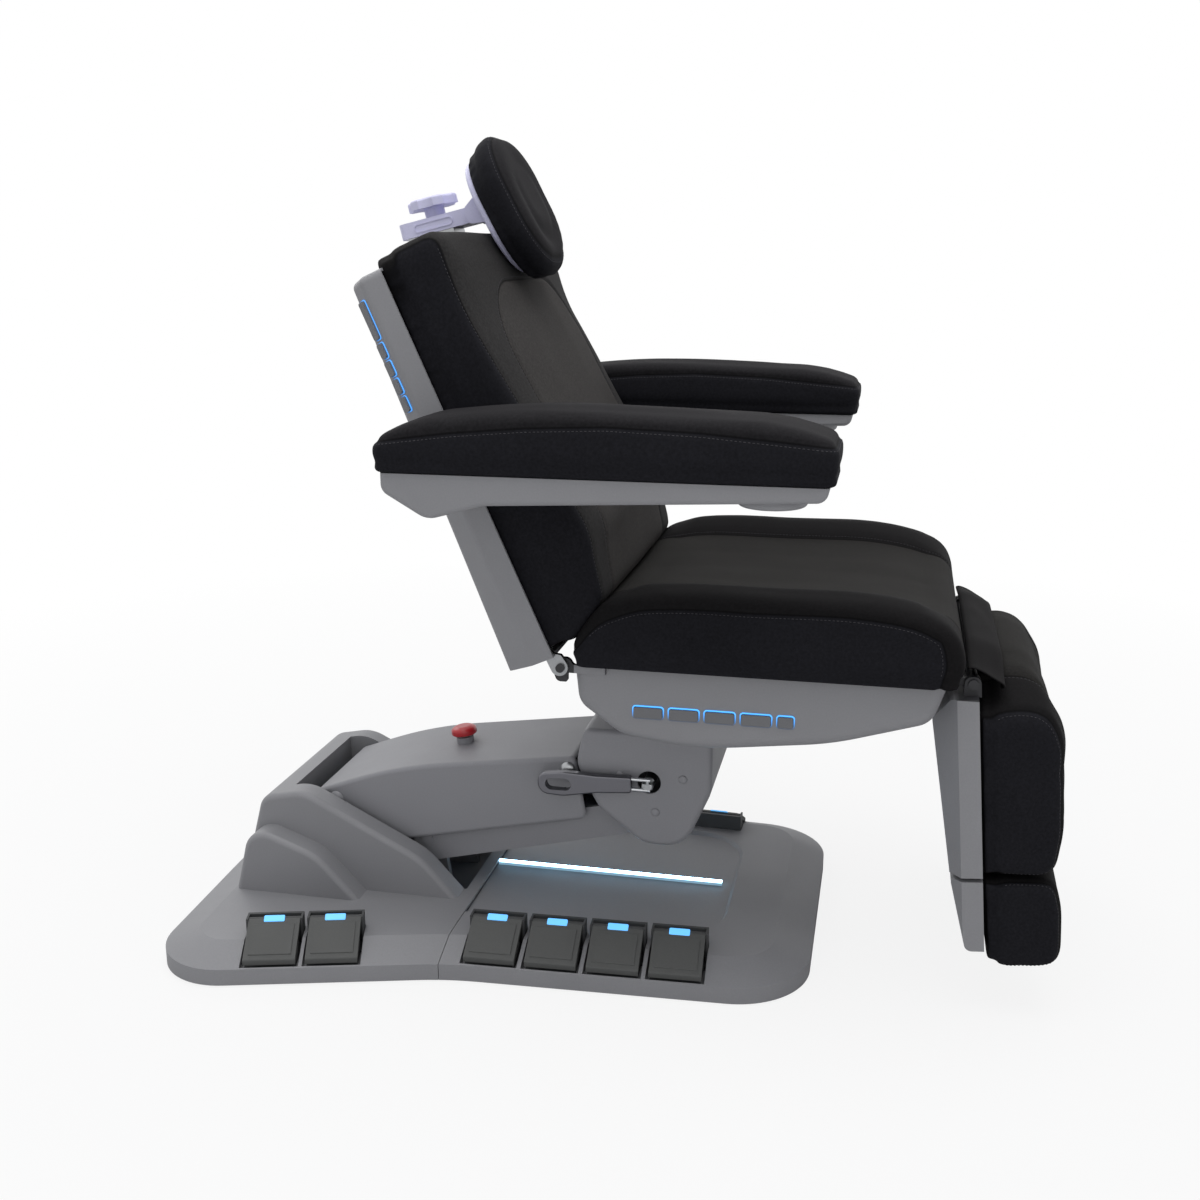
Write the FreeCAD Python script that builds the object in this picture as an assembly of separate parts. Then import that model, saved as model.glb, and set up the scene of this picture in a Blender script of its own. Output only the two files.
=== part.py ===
import FreeCAD, Part
import math
import os

# Power procedure table in millimetres: X to the foot end, Z up, origin on the floor under the swivel axis

V = FreeCAD.Vector

# Fits and gaps
running_gap = 0.05
seat_fit = 0.02
panel_gap = 1.0
slide_gap = 0.4
soft_gap = 3.0

# Base plate and covers
base_back = 690.0
base_back_bow = 22.0
base_back_half = 425.0
base_back_round = 100.0
base_bow_round = 1500.0
base_waist = 260.0
base_waist_half = 306.0
base_waist_round = 400.0
base_front = 252.0
base_front_half = 280.0
base_front_round = 115.0
plate_thickness = 8.0
plate_inset = 6.0
cover_wall = 4.0
cover_lift = 3.0
rim_height = 28.0
deck_height = 48.0
deck_slope_run = 52.0
seam_x = -272.0
well_front = 122.0
well_half = 185.0
well_depth = 6.0
well_round = 85.0
light_length = 370.0
light_width = 9.0
light_height = 7.0
light_end_gap = 22.0

# Tower over the lift pivots
tower_back = -655.0
tower_top = 200.0
tower_front = -292.0
tower_half = 150.0
tower_edge_round = 9.0
tower_bulge_half = 188.0
tower_bulge_top = 158.0
tower_bulge_front = -440.0
slot_half = 112.0
slot_back = -572.0
inlet_width = 50.0
inlet_height = 27.0
inlet_depth = 18.0
inlet_level = 82.0

# Parallel lift: two pairs of pins
arm_rear_x = -509.0
arm_rear_z = 178.0
arm_length = 389.5
arm_rise = 12.0
link_offset_x = 146.0
link_offset_z = -62.0
pin_radius = 9.0
pin_head_radius = 12.0
pin_head_height = 6.0
arm_plate_inner = 46.0
arm_plate = 12.0
arm_plate_half = 26.0
hub_radius = 13.6
ear_inner = 60.0
ear_plate = 12.0
ear_radius = 13.0
link_inner = 76.0
link_plate = 10.0
link_half_height = 38.0
arm_cover_half = 100.0
arm_cover_wall = 4.0
arm_cover_rear_x = -546.0
arm_cover_top_rear = 188.0
arm_cover_peak_x = -408.0
arm_cover_peak_z = 240.0
arm_cover_bow = 700.0
arm_cover_front_x = -116.0
arm_cover_top_front = 280.0
arm_skirt_drop = 84.0

# Lift actuator on the diagonal of the parallel lift
housing_radius = 21.0
housing_length = 52.0
tube_radius = 16.0
tube_end = 165.0
rod_radius = 10.0
rod_start = 38.0
rod_short = 46.0
actuator_eye_half = 18.0

# Emergency stop on the arm
stop_x = -323.0
stop_radius = 20.5
stop_collar_radius = 14.0
stop_collar_height = 11.0
stop_head_height = 14.0
stop_stem_radius = 7.0
stop_stem_depth = 10.0
stop_travel = 4.0

# Head that carries the swivel
head_back = -114.0
head_front = 94.0
head_top = 331.0
head_bottom = 152.0
head_half = 114.0
head_wall = 4.0
head_edge_round = 9.0
flange_top = 336.0
flange_thickness = 14.0
flange_radius = 84.0
swivel_shaft_radius = 22.0
swivel_shaft_length = 40.0
brake_z = 254.0
brake_hole_radius = 18.0
bolt_radius = 9.0
bolt_reach = 134.0
bolt_flat_half = 4.4
lever_pin_radius = 3.0
lever_wire_radius = 3.0
lever_pin_inset = 8.0
lever_fork_reach = 36.0
lever_fork_half = 8.0
grip_root = -24.0
grip_tip = -168.0
grip_height = 40.0
grip_thickness = 14.0
grip_hole_length = 40.0
grip_hole_height = 19.0
grip_rim = 12.0

# Turntable and seat tilt
turntable_thickness = 12.0
tilt_x = -40.0
tilt_z = 408.0
tilt_pin_radius = 10.0
tilt_ear_inner = 40.0
tilt_ear = 10.0
tilt_ear_radius = 20.0

# Seat
seat_back = -80.0
seat_front = 440.0
seat_bottom = 482.0
seat_top = 588.0
seat_half = 288.0
seat_crown = -20.0
pan_back = -81.0
pan_front = 417.0
pan_top = 467.0
pan_bottom = 364.0
pan_half = 262.0
pan_wall = 4.0
pan_board_gap = 4.0
pan_round = 18.0
pan_opening_back = -72.0
pan_opening_front = 32.0
pan_opening_half = 72.0
frame_board = 11.0
rail_width = 30.0
rail_height = 26.0
rail_outer = 242.0
drive_radius = 24.0
drive_length = 170.0
drive_pitch = 110.0
key_width = 40.0
key_small_width = 21.0
key_height = 15.5
key_proud = 4.0
key_depth = 12.0
key_first_x = 24.0
key_pitch = 48.8
key_z = 417.0
key_count = 5

# Backrest
hinge_x = -95.0
hinge_z = 477.0
back_lean = 24.0
back_bottom = 22.0
back_top = 588.0
back_half = 280.0
back_side_depth = 88.0
back_lumbar_depth = 112.0
back_crown = 18.0
shell_bottom = 18.0
shell_top = 576.0
shell_half = 286.0
shell_rear_half = 262.0
shell_side_depth = 32.0
shell_depth_bottom = 76.0
shell_depth_top = 54.0
shell_edge_round = 10.0
shell_wall = 4.0
board_thickness = 6.5
board_half = 264.0
lug_inner = 268.0
lug_plate = 8.0
lug_radius = 13.0
lug_height = 50.0
lug_slot_depth = 30.0
hinge_pin_radius = 6.0
bracket_plate = 8.0
bracket_reach = 60.0
back_key_length = 20.0
back_key_width = 15.0
back_key_pitch = 25.0
back_key_low = 405.0
rocker_length = 52.0
rocker_level = 522.0

# Headrest
knob_x = -345.0
bar_z = 1061.5
bar_rise = 13.4
bar_half = 28.0
bar_thickness = 22.0
bar_back = 53.0
bar_front = 66.5
bar_slot_back = 46.0
bar_slot_front = 12.0
post_half = 26.0
post_rear = -34.0
post_front = -8.0
post_head = 30.0
post_head_thickness = 10.0
knob_radius = 37.0
knob_height = 14.0
knob_lobes = 6
knob_hollow_radius = 16.0
knob_stem_radius = 15.0
knob_stem_height = 14.0
stud_radius = 5.0
head_tilt_pin = 5.0
head_lean = 28.0
head_plate_rear = 20.0
head_plate_thickness = 9.0
head_plate_half = 78.0
head_plate_low = -106.0
head_plate_high = 66.0
head_pad_half = 94.0
head_pad_low = -130.0
head_pad_high = 81.0
head_pad_depth = 42.0
head_pad_tuck = 22.0
head_pad_crown = 10.0

# Armrests
rest_back = -295.0
rest_front = 271.0
rest_bottom = 763.0
rest_top_back = 800.0
rest_top = 846.0
rest_top_front = 815.0
rest_inner = 303.0
rest_outer = 433.0
rest_shell_inset = 9.0
rest_shell_deep = 60.0
rest_shell_side = 26.0
rest_boss_x = 192.0
rest_boss_radius = 43.0
rest_boss_depth = 9.0
rest_pivot_n = -20.0
rest_pivot_u = 285.0
rest_hub_radius = 26.0
rest_shaft_radius = 11.0
rest_shaft_inner = 262.0

# Legrest and footrest
leg_hinge_x = 450.0
leg_hinge_z = 474.0
leg_lean = 4.9
leg_half = 240.0
leg_rear = 9.0
leg_front = 106.0
leg_crown = 8.0
leg_shoulder = 50.0
leg_crest = 14.0
leg_top = 4.0
leg_bottom = -268.0
leg_shell_top = -16.0
leg_shell_shoulder = -54.0
leg_shell_rear_top = -54.0
leg_shell_rear_bottom = -37.0
leg_chamfer_start = -22.0
leg_chamfer_half = 198.0
leg_pin_radius = 7.0
leg_ear_y = 202.0
leg_ear = 10.0
leg_ear_radius = 10.0
foot_gap = 6.0
foot_bottom = -376.0
foot_front = 106.0
foot_overhang = 20.0
rail_y = 150.0
rail_half = 12.0
rail_rear = -18.0
rail_front = -10.0
rail_reach = 150.0
flap_half = 190.0
flap_thickness = 2.5
flap_rear_x = 443.0
flap_front_x = 486.0
flap_top = 512.0
flap_low = 490.5
flap_bend = 12.0

# Foot pedals
pedal_width = 75.0
pedal_run = 72.0
pedal_low = 38.0
pedal_high = 78.0
pedal_plate = 8.0
pedal_edge_inset = 7.0
pedal_pin_radius = 3.0
pedal_pin_inset = 7.0
pedal_drop = 6.0
pedal_pad_margin = 7.0
pedal_pad_height = 1.6
pedal_label_run = 20.0
cheek_gap = 0.5
cheek = 3.0
front_pedal_first = 60.0
front_pedal_pitch = 90.0
front_pedal_count = 4
rear_pedal_first = 166.0
rear_pedal_pitch = 89.0
rear_pedal_count = 2
pocket_floor = 21.0
pocket_margin = 4.5

# Places that follow from the sizes
arm_angle = math.radians(arm_rise)
arm_front_x = arm_rear_x + arm_length * math.cos(arm_angle)
arm_front_z = arm_rear_z + arm_length * math.sin(arm_angle)
link_rear_x = arm_rear_x + link_offset_x
link_rear_z = arm_rear_z + link_offset_z
link_front_x = arm_front_x + link_offset_x
link_front_z = arm_front_z + link_offset_z
diagonal_length = math.hypot(arm_front_x - link_rear_x, arm_front_z - link_rear_z)
diagonal_angle = math.atan2(arm_front_z - link_rear_z, arm_front_x - link_rear_x)
pin_reach = arm_cover_half + panel_gap
link_pin_reach = link_inner + link_plate + 2 * panel_gap
lever_y = lever_pin_inset - bolt_reach
board_top = pan_top + panel_gap + frame_board
pan_rim = seat_bottom - soft_gap
head_hinge_x = knob_x + bar_front * math.cos(math.radians(bar_rise))
head_hinge_z = bar_z + bar_front * math.sin(math.radians(bar_rise))

PLANES = {
    "xy": lambda a, b, c: V(a, b, c),
    "xz": lambda a, b, c: V(a, c, b),
    "yz": lambda a, b, c: V(c, a, b),
}


def outline(corners, plane, level):
    """A closed wire through the corners (a, b, radius), each rounded by its radius."""
    place = PLANES[plane]
    rounded = []
    for index, (a, b, radius) in enumerate(corners):
        corner = V(a, b, 0)
        back = V(*corners[index - 1][:2], 0) - corner
        ahead = V(*corners[(index + 1) % len(corners)][:2], 0) - corner
        back.normalize()
        ahead.normalize()
        if radius <= 0:
            rounded.append((corner, None, corner))
            continue
        half = back.getAngle(ahead) / 2
        inward = (back + ahead).normalize()
        reach = radius / math.tan(half)
        middle = corner + inward * (radius / math.sin(half) - radius)
        rounded.append((corner + back * reach, middle, corner + ahead * reach))
    edges = []
    for index, (start, middle, end) in enumerate(rounded):
        if middle is not None:
            points = [place(p.x, p.y, level) for p in (start, middle, end)]
            edges.append(Part.Arc(*points).toShape())
        following = rounded[(index + 1) % len(rounded)][0]
        if end.distanceToPoint(following) > 1e-4:
            edges.append(Part.makeLine(place(end.x, end.y, level), place(following.x, following.y, level)))
    return Part.Wire(edges)


def inset(corners, distance):
    """The same outline moved inward by a distance."""
    count = len(corners)
    area = sum(
        corners[i - 1][0] * corners[i][1] - corners[i][0] * corners[i - 1][1] for i in range(count)
    )
    turn = 1 if area > 0 else -1
    moved = []
    for index, (a, b, radius) in enumerate(corners):
        before = V(*corners[index - 1][:2], 0)
        here = V(a, b, 0)
        after = V(*corners[(index + 1) % count][:2], 0)
        first = (here - before).normalize()
        second = (after - here).normalize()
        first_normal = V(-first.y, first.x, 0) * turn
        second_normal = V(-second.y, second.x, 0) * turn
        bisector = (first_normal + second_normal).normalize()
        shift = bisector * (distance / bisector.dot(first_normal))
        bend = (first.x * second.y - first.y * second.x) * turn
        changed = radius - distance if bend > 0 else radius + distance
        moved.append((a + shift.x, b + shift.y, max(changed, 0.5) if radius > 0 else 0))
    return moved


def prism(corners, plane, start, end):
    """A straight solid on a rounded outline."""
    place = PLANES[plane]
    return Part.Face(outline(corners, plane, start)).extrude(place(0, 0, end - start))


def frustum(low_corners, low, high_corners, high):
    """A solid between two like outlines at two heights."""
    return Part.makeLoft([outline(low_corners, "xy", low), outline(high_corners, "xy", high)], True, True)


def box(x0, x1, y0, y1, z0, z1):
    return Part.makeBox(x1 - x0, y1 - y0, z1 - z0, V(x0, y0, z0))


def rod_along_y(radius, x, z, y0, y1):
    return Part.makeCylinder(radius, y1 - y0, V(x, y0, z), V(0, 1, 0))


def fuse(pieces):
    return pieces[0].multiFuse(pieces[1:]).removeSplitter()


def mirrored(shape):
    return shape.mirror(V(0, 0, 0), V(0, 1, 0))


def on_both_sides(shape):
    return [shape, mirrored(shape)]


def side_edges(shape, half, middle=0.0):
    """The edges that lie in the two side faces of a straight solid."""
    return [e for e in shape.Edges if abs(abs(e.CenterOfMass.y - middle) - half) < 0.05]


def leaning(shape, lean, x, z):
    """Turn a piece made upright so that its top leans back, and set it at its hinge."""
    turned = shape.copy()
    turned.rotate(V(0, 0, 0), V(0, 1, 0), -lean)
    turned.translate(V(x, 0, z))
    return turned


def leaning_point(ahead, up, lean, x, z):
    """Where a point of a leaning piece lands."""
    angle = math.radians(lean)
    return (
        x + ahead * math.cos(angle) - up * math.sin(angle),
        z + ahead * math.sin(angle) + up * math.cos(angle),
    )


def crowned_pad(profile, half, edge, crown):
    """A cushion lofted across its width: crowned in the middle, drawn in round its two sides."""
    sections = []
    for place in (half, half - 0.3 * edge, half - edge, 0.62 * half, 0.32 * half, 0.0):
        short = max(edge - half + place, 0.0)
        pull = edge - math.sqrt(edge ** 2 - short ** 2)
        sections.append((place, pull, 1 - (place / half) ** 2))
    sections = [(-place, pull, share) for place, pull, share in sections] + sections[-2::-1]
    wires = [outline(inset(profile(crown * share), pull), "xz", place) for place, pull, share in sections]
    return Part.makeLoft(wires, True, True)


# Base


def base_corners():
    return [
        (-base_back - base_back_bow, 0, base_bow_round),
        (-base_back, -base_back_half, base_back_round),
        (-base_waist, -base_waist_half, base_waist_round),
        (base_front, -base_front_half, base_front_round),
        (base_front, base_front_half, base_front_round),
        (-base_waist, base_waist_half, base_waist_round),
        (-base_back, base_back_half, base_back_round),
    ]


def base_slab(shrink):
    """The low deck of the base: an upright rim, then a gentle slope up to the flat top."""
    rim = inset(base_corners(), shrink)
    top = inset(base_corners(), shrink + deck_slope_run)
    walls = frustum(rim, cover_lift - shrink, rim, rim_height - shrink)
    slope = frustum(rim, rim_height - shrink, top, deck_height - shrink)
    return walls.fuse(slope)


def tower_corners():
    foot = deck_height - cover_wall
    return [
        (tower_back, foot, 0),
        (tower_back + 40, tower_top - 8, 30),
        (tower_back + 112, tower_top + 6, 60),
        (tower_front - 60, deck_height + 62, 120),
        (tower_front, foot, 0),
    ]


def bulge_corners():
    foot = deck_height - cover_wall
    return [
        (tower_back + 6, foot, 0),
        (tower_back + 34, tower_bulge_top, 36),
        (tower_bulge_front - 70, tower_bulge_top - 40, 90),
        (tower_bulge_front, foot, 0),
    ]


def tower_form(corners, half):
    """One rounded layer of the tower."""
    form = prism(corners, "xz", -half, half)
    edges = [e for e in side_edges(form, half) if e.BoundBox.ZMax > deck_height + 2]
    return form.makeFillet(tower_edge_round, edges)


def tower_hollow(corners, half):
    return prism(inset(corners, cover_wall), "xz", cover_wall - half, half - cover_wall)


def pedal_rows():
    """Each near pedal's place: (x, y, turn) of the middle of its outer edge."""
    rows = (
        (base_front, -base_front_half, front_pedal_first, front_pedal_pitch, front_pedal_count),
        (-base_back, -base_back_half, rear_pedal_first, rear_pedal_pitch, rear_pedal_count),
    )
    places = []
    start = V(-base_waist, -base_waist_half, 0)
    for x, y, first, pitch, count in rows:
        along = (V(x, y, 0) - start).normalize()
        inward = V(-along.y, along.x, 0) * math.copysign(1, along.x)
        turn = math.degrees(math.atan2(inward.y, inward.x)) - 90
        for number in range(count):
            point = start + along * (first + pitch * number) + inward * pedal_edge_inset
            places.append((point.x, point.y, turn))
    return places


def set_on_edge(shape, place):
    """Move a piece made at the origin, its outer edge along X, to its place on the base's near edge."""
    x, y, turn = place
    moved = shape.copy()
    moved.rotate(V(0, 0, 0), V(0, 0, 1), turn)
    moved.translate(V(x, y, 0))
    return moved


def pedal_hinge():
    """The pedal pin, inside the high end of the pedal: (run from the outer edge, height)."""
    return pedal_run - pedal_pin_inset, pedal_high - pedal_plate - 1


def pedal_slope():
    return (pedal_high - pedal_low) / pedal_run


def pedal():
    """A sloping treadle with a raised tread pad and the hinge bore in its high end."""
    hinge_run, hinge_height = pedal_hinge()
    half = pedal_width / 2
    slope = pedal_slope()
    treadle = prism(
        [
            (0, pedal_low - pedal_plate, 0),
            (0, pedal_low, 3),
            (pedal_run - 12, pedal_high - 12 * slope, 4),
            (pedal_run, pedal_high - 8, 3),
            (pedal_run, hinge_height - 6, 0),
            (pedal_run - 14, hinge_height - 6, 0),
        ],
        "yz", -half, half,
    )
    start = pedal_pad_margin
    end = pedal_run - pedal_label_run
    pad = prism(
        [
            (start, pedal_low + start * slope - 1, 0),
            (start, pedal_low + start * slope + pedal_pad_height, 1),
            (end, pedal_low + end * slope + pedal_pad_height, 1),
            (end, pedal_low + end * slope - 1, 0),
        ],
        "yz", pedal_pad_margin - half, half - pedal_pad_margin,
    )
    bore = Part.makeCylinder(
        pedal_pin_radius + running_gap, 2 * pedal_width, V(-pedal_width, hinge_run, hinge_height), V(1, 0, 0)
    )
    return fuse([treadle, pad]).cut(bore)


def pedal_base():
    """The switch block under a pedal: a wedge with a lip outside and two cheeks that hold the pin."""
    hinge_run, hinge_height = pedal_hinge()
    half = pedal_width / 2
    cheek_inner = half + cheek_gap
    cheek_outer = cheek_inner + cheek
    under = pedal_low - pedal_plate - pedal_drop
    wedge_end = pedal_run - 26
    wedge = prism(
        [
            (-3, pocket_floor, 0),
            (-3, under, 1),
            (4, under, 0),
            (wedge_end, under + (wedge_end - 4) * pedal_slope() - 5, 0),
            (wedge_end, pocket_floor, 0),
        ],
        "yz", -half + 1, half - 1,
    )
    rear = pedal_run + 7
    wall = box(-cheek_outer, cheek_outer, pedal_run + 2, rear, pocket_floor, hinge_height + 4)
    floor = box(-cheek_outer, cheek_outer, wedge_end - 1, rear, pocket_floor, pocket_floor + 4)
    holder = box(cheek_inner, cheek_outer, hinge_run - 8, rear, pocket_floor, hinge_height + 4)
    holders = [holder, holder.mirror(V(0, 0, 0), V(1, 0, 0))]
    pin = Part.makeCylinder(
        pedal_pin_radius, 2 * cheek_outer, V(-cheek_outer, hinge_run, hinge_height), V(1, 0, 0)
    )
    return fuse([wedge, floor, wall, pin] + holders)


def pedal_bases():
    blocks = []
    for place in pedal_rows():
        blocks += on_both_sides(set_on_edge(pedal_base(), place))
    return Part.makeCompound(blocks)


def pocket_box(grow, top):
    half = pedal_width / 2 + pocket_margin + grow
    return box(-half, half, -pocket_margin - grow, pedal_run + 8 + grow, pocket_floor - grow, top)


def base_covers():
    """The rear cover with its slotted tower, and the front cover with its shallow well."""
    slab = base_slab(0)
    raised = tower_form(tower_corners(), tower_half).fuse(tower_form(bulge_corners(), tower_bulge_half))
    slot = box(slot_back, tower_front + 1, -slot_half, slot_half, -1, 2 * tower_top)
    slot_walls = box(slot_back - cover_wall, tower_front + 1, -slot_half - cover_wall, slot_half + cover_wall,
                     -1, 2 * tower_top)
    under_tower = box(tower_back + 12, tower_front - 16, cover_wall - tower_half, tower_half - cover_wall,
                      -1, deck_height + 1)
    hollow = tower_hollow(tower_corners(), tower_half).fuse(
        [tower_hollow(bulge_corners(), tower_bulge_half), under_tower]
    )
    inlet_back = tower_back + inlet_depth + 8
    inlet_half = inlet_width / 2
    inlet_low = inlet_level - inlet_height / 2
    inlet_high = inlet_level + inlet_height / 2
    shroud_half = inlet_half + cover_wall
    shroud_low = inlet_low - cover_wall
    shroud_high = inlet_high + cover_wall
    shroud_back = inlet_back + cover_wall
    shroud = box(tower_back, shroud_back, -shroud_half, shroud_half, shroud_low, shroud_high)
    inlet = box(tower_back - 20, inlet_back, -inlet_half, inlet_half, inlet_low, inlet_high)
    whole = slab.cut(base_slab(cover_wall)).fuse(raised).cut(hollow.cut(slot_walls))
    whole = whole.fuse(shroud.common(raised)).cut(slot.fuse(inlet))
    trays = []
    pockets = []
    for place in pedal_rows():
        tray = set_on_edge(pocket_box(cover_wall, deck_height), place).common(slab)
        trays += on_both_sides(tray)
        pockets += on_both_sides(set_on_edge(pocket_box(0, tower_top), place))
    well_corners = [
        (seam_x - 40, -well_half, 0),
        (well_front, -well_half, well_round),
        (well_front, well_half, well_round),
        (seam_x - 40, well_half, 0),
    ]
    floor = deck_height - well_depth
    well = frustum(inset(well_corners, well_depth), floor, well_corners, deck_height + 1)
    basin = frustum(inset(well_corners, well_depth - cover_wall), floor - cover_wall,
                    inset(well_corners, -cover_wall), deck_height)
    far = 2 * base_back
    ahead = box(seam_x + panel_gap, far, -far, far, -far, far)
    behind = box(-far, seam_x, -far, far, -far, far)
    whole = whole.fuse(trays).cut(pockets)
    front = whole.common(ahead).fuse(basin.common(ahead)).cut(well)
    return whole.common(behind).removeSplitter(), front.removeSplitter()


def light_bar():
    """A lit diffuser along the middle of the well."""
    floor = deck_height - well_depth
    end = well_front - light_end_gap
    half = light_width / 2
    corners = [
        (-half, floor, 0),
        (half, floor, 0),
        (half, floor + light_height, 3),
        (-half, floor + light_height, 3),
    ]
    return prism(corners, "yz", end - light_length, end)


def base_frame():
    """The floor plate with the two ear plates that carry the lift."""
    plate = prism(inset(base_corners(), plate_inset), "xy", 0, plate_thickness)
    foot = plate_thickness - 1
    corners = [
        (arm_rear_x - 25, foot, 0),
        (link_rear_x + 36, foot, 0),
        (link_rear_x + 20, link_rear_z + 4, 18),
        (link_rear_x - 30, link_rear_z + 22, 30),
        (arm_rear_x + 24, arm_rear_z + ear_radius, ear_radius),
        (arm_rear_x - ear_radius, arm_rear_z + ear_radius, ear_radius - 1),
    ]
    ears = on_both_sides(prism(corners, "xz", ear_inner, ear_inner + ear_plate))
    tie = box(arm_rear_x - 25, arm_rear_x - 13, -ear_inner - 1, ear_inner + 1, foot, arm_rear_z / 2)
    frame = fuse([plate, tie] + ears)
    bores = [
        rod_along_y(pin_radius + seat_fit, x, z, -slot_half, slot_half)
        for x, z in ((arm_rear_x, arm_rear_z), (link_rear_x, link_rear_z))
    ]
    return frame.cut(bores)


def domed_pin(x, z):
    """A plain pin with a low domed head at each end."""
    shaft = rod_along_y(pin_radius, x, z, -pin_reach, pin_reach)
    dome_radius = (pin_head_radius ** 2 + pin_head_height ** 2) / (2 * pin_head_height)
    ball = Part.makeSphere(dome_radius, V(x, pin_reach + pin_head_height - dome_radius, z))
    head = ball.common(rod_along_y(dome_radius, x, z, pin_reach, pin_reach + dome_radius))
    return fuse([shaft] + on_both_sides(head))


def plain_pin(x, z):
    return rod_along_y(pin_radius, x, z, -link_pin_reach, link_pin_reach)


def rear_pins():
    return Part.makeCompound([domed_pin(arm_rear_x, arm_rear_z), plain_pin(link_rear_x, link_rear_z)])


# Lift


def along_arm(along, across):
    """A point measured along the arm from its rear pin, and across it."""
    return leaning_point(along, across, arm_rise, arm_rear_x, arm_rear_z)


def along_link(along, across):
    return leaning_point(along, across, arm_rise, link_rear_x, link_rear_z)


def lift_arm():
    """Two side plates and two hubs, with a web between the plates."""
    half = hub_radius
    end_round = half - 0.3
    corners = [
        along_arm(-half, half) + (end_round,),
        along_arm(-half, -half) + (end_round,),
        along_arm(60, -arm_plate_half - 8) + (30,),
        along_arm(arm_length - 70, -arm_plate_half) + (30,),
        along_arm(arm_length + half, -half) + (end_round,),
        along_arm(arm_length + half, half) + (end_round,),
    ]
    outer = arm_plate_inner + arm_plate
    plates = on_both_sides(prism(corners, "xz", arm_plate_inner, outer))
    ends = ((arm_rear_x, arm_rear_z), (arm_front_x, arm_front_z))
    hubs = [rod_along_y(half, x, z, -outer, outer) for x, z in ends]
    web_corners = [
        along_arm(24, 10) + (0,),
        along_arm(24, 4) + (0,),
        along_arm(arm_length - 24, 4) + (0,),
        along_arm(arm_length - 24, 10) + (0,),
    ]
    web = prism(web_corners, "xz", -arm_plate_inner - 1, arm_plate_inner + 1)
    bores = [rod_along_y(pin_radius + running_gap, x, z, -outer - 1, outer + 1) for x, z in ends]
    return fuse(plates + hubs + [web]).cut(bores)


def arm_cover():
    """A channel over the arm: a bowed top and two long skirts, open below and at both ends."""
    corners = [
        (arm_cover_rear_x, arm_cover_top_rear, 14),
        (arm_cover_rear_x + 4, arm_rear_z - 36, 20),
        along_arm(45, -arm_skirt_drop) + (30,),
        along_arm(arm_length + 12, -arm_skirt_drop) + (12,),
        (arm_cover_front_x, arm_cover_top_front, 10),
        (arm_cover_peak_x, arm_cover_peak_z, arm_cover_bow),
    ]
    outer = prism(corners, "xz", -arm_cover_half, arm_cover_half)
    top_edges = [e for e in side_edges(outer, arm_cover_half) if e.CenterOfMass.z > arm_rear_z + 24]
    outer = outer.makeFillet(7, top_edges)
    rear_slope = (arm_cover_peak_z - arm_cover_top_rear) / (arm_cover_peak_x - arm_cover_rear_x)
    front_slope = (arm_cover_top_front - arm_cover_peak_z) / (arm_cover_front_x - arm_cover_peak_x)
    over = 60
    inner_corners = [
        (arm_cover_rear_x - over, arm_cover_top_rear - over * rear_slope - arm_cover_wall, 0),
        (arm_cover_rear_x - over, -over, 0),
        (arm_cover_front_x + over, -over, 0),
        (arm_cover_front_x + over, arm_cover_top_front + over * front_slope - arm_cover_wall, 0),
        (arm_cover_peak_x, arm_cover_peak_z - arm_cover_wall, arm_cover_bow),
    ]
    half = arm_cover_half - arm_cover_wall
    hollow = prism(inner_corners, "xz", -half, half)
    seat, direction = stop_seat()
    boss = Part.makeCylinder(stop_collar_radius, stop_collar_height + 8, seat - direction * 8, direction)
    bore = Part.makeCylinder(stop_stem_radius + slide_gap, 60, seat - direction * 30, direction)
    holes = [
        rod_along_y(pin_radius + panel_gap, x, z, -pin_reach, pin_reach)
        for x, z in ((arm_rear_x, arm_rear_z), (arm_front_x, arm_front_z))
    ]
    return fuse([outer, boss]).cut([hollow, bore] + holes)


def stop_seat():
    """Where the stop button stands on the arm's top, and the way it points."""
    run = arm_cover_front_x - arm_cover_peak_x
    rise = arm_cover_top_front - arm_cover_peak_z
    level = arm_cover_peak_z + (stop_x - arm_cover_peak_x) * rise / run
    return V(stop_x, 0, level - 1), V(-rise, 0, run).normalize()


def stop_button():
    """A mushroom button on a stem that slides in the collar."""
    low = stop_collar_height + stop_travel + slide_gap
    profile = [
        (0, -stop_stem_depth, 0),
        (stop_stem_radius, -stop_stem_depth, 0),
        (stop_stem_radius, low, 0),
        (stop_radius, low, 2),
        (stop_radius, low + stop_head_height * 0.7, 6),
        (stop_radius * 0.6, low + stop_head_height, 12),
        (0, low + stop_head_height, 0),
    ]
    button = Part.Face(outline(profile, "xz", 0)).revolve(V(0, 0, 0), V(0, 0, 1), 360)
    seat, direction = stop_seat()
    button.rotate(V(0, 0, 0), V(0, 1, 0), math.degrees(math.atan2(direction.x, direction.z)))
    button.translate(seat)
    return button


def lower_link():
    """A channel below the arm: two side plates joined by a floor."""
    half = link_half_height
    corners = [
        along_link(-half * 0.6, half * 0.55) + (18,),
        along_link(-half * 0.6, -half) + (24,),
        along_link(arm_length + 24, -half * 0.7) + (20,),
        along_link(arm_length + 24, half * 0.55) + (18,),
    ]
    plates = on_both_sides(prism(corners, "xz", link_inner, link_inner + link_plate))
    floor_corners = [
        along_link(66, 10 - half) + (0,),
        along_link(66, 3.5 - half) + (0,),
        along_link(arm_length - 84, -half * 0.7 - 3) + (0,),
        along_link(arm_length - 84, -half * 0.7 + 3.5) + (0,),
    ]
    floor = prism(floor_corners, "xz", -link_inner - 1, link_inner + 1)
    bores = [
        rod_along_y(pin_radius + running_gap, *along_link(along, 0), -link_pin_reach, link_pin_reach)
        for along in (0, arm_length)
    ]
    return fuse(plates + [floor]).cut(bores)


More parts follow.
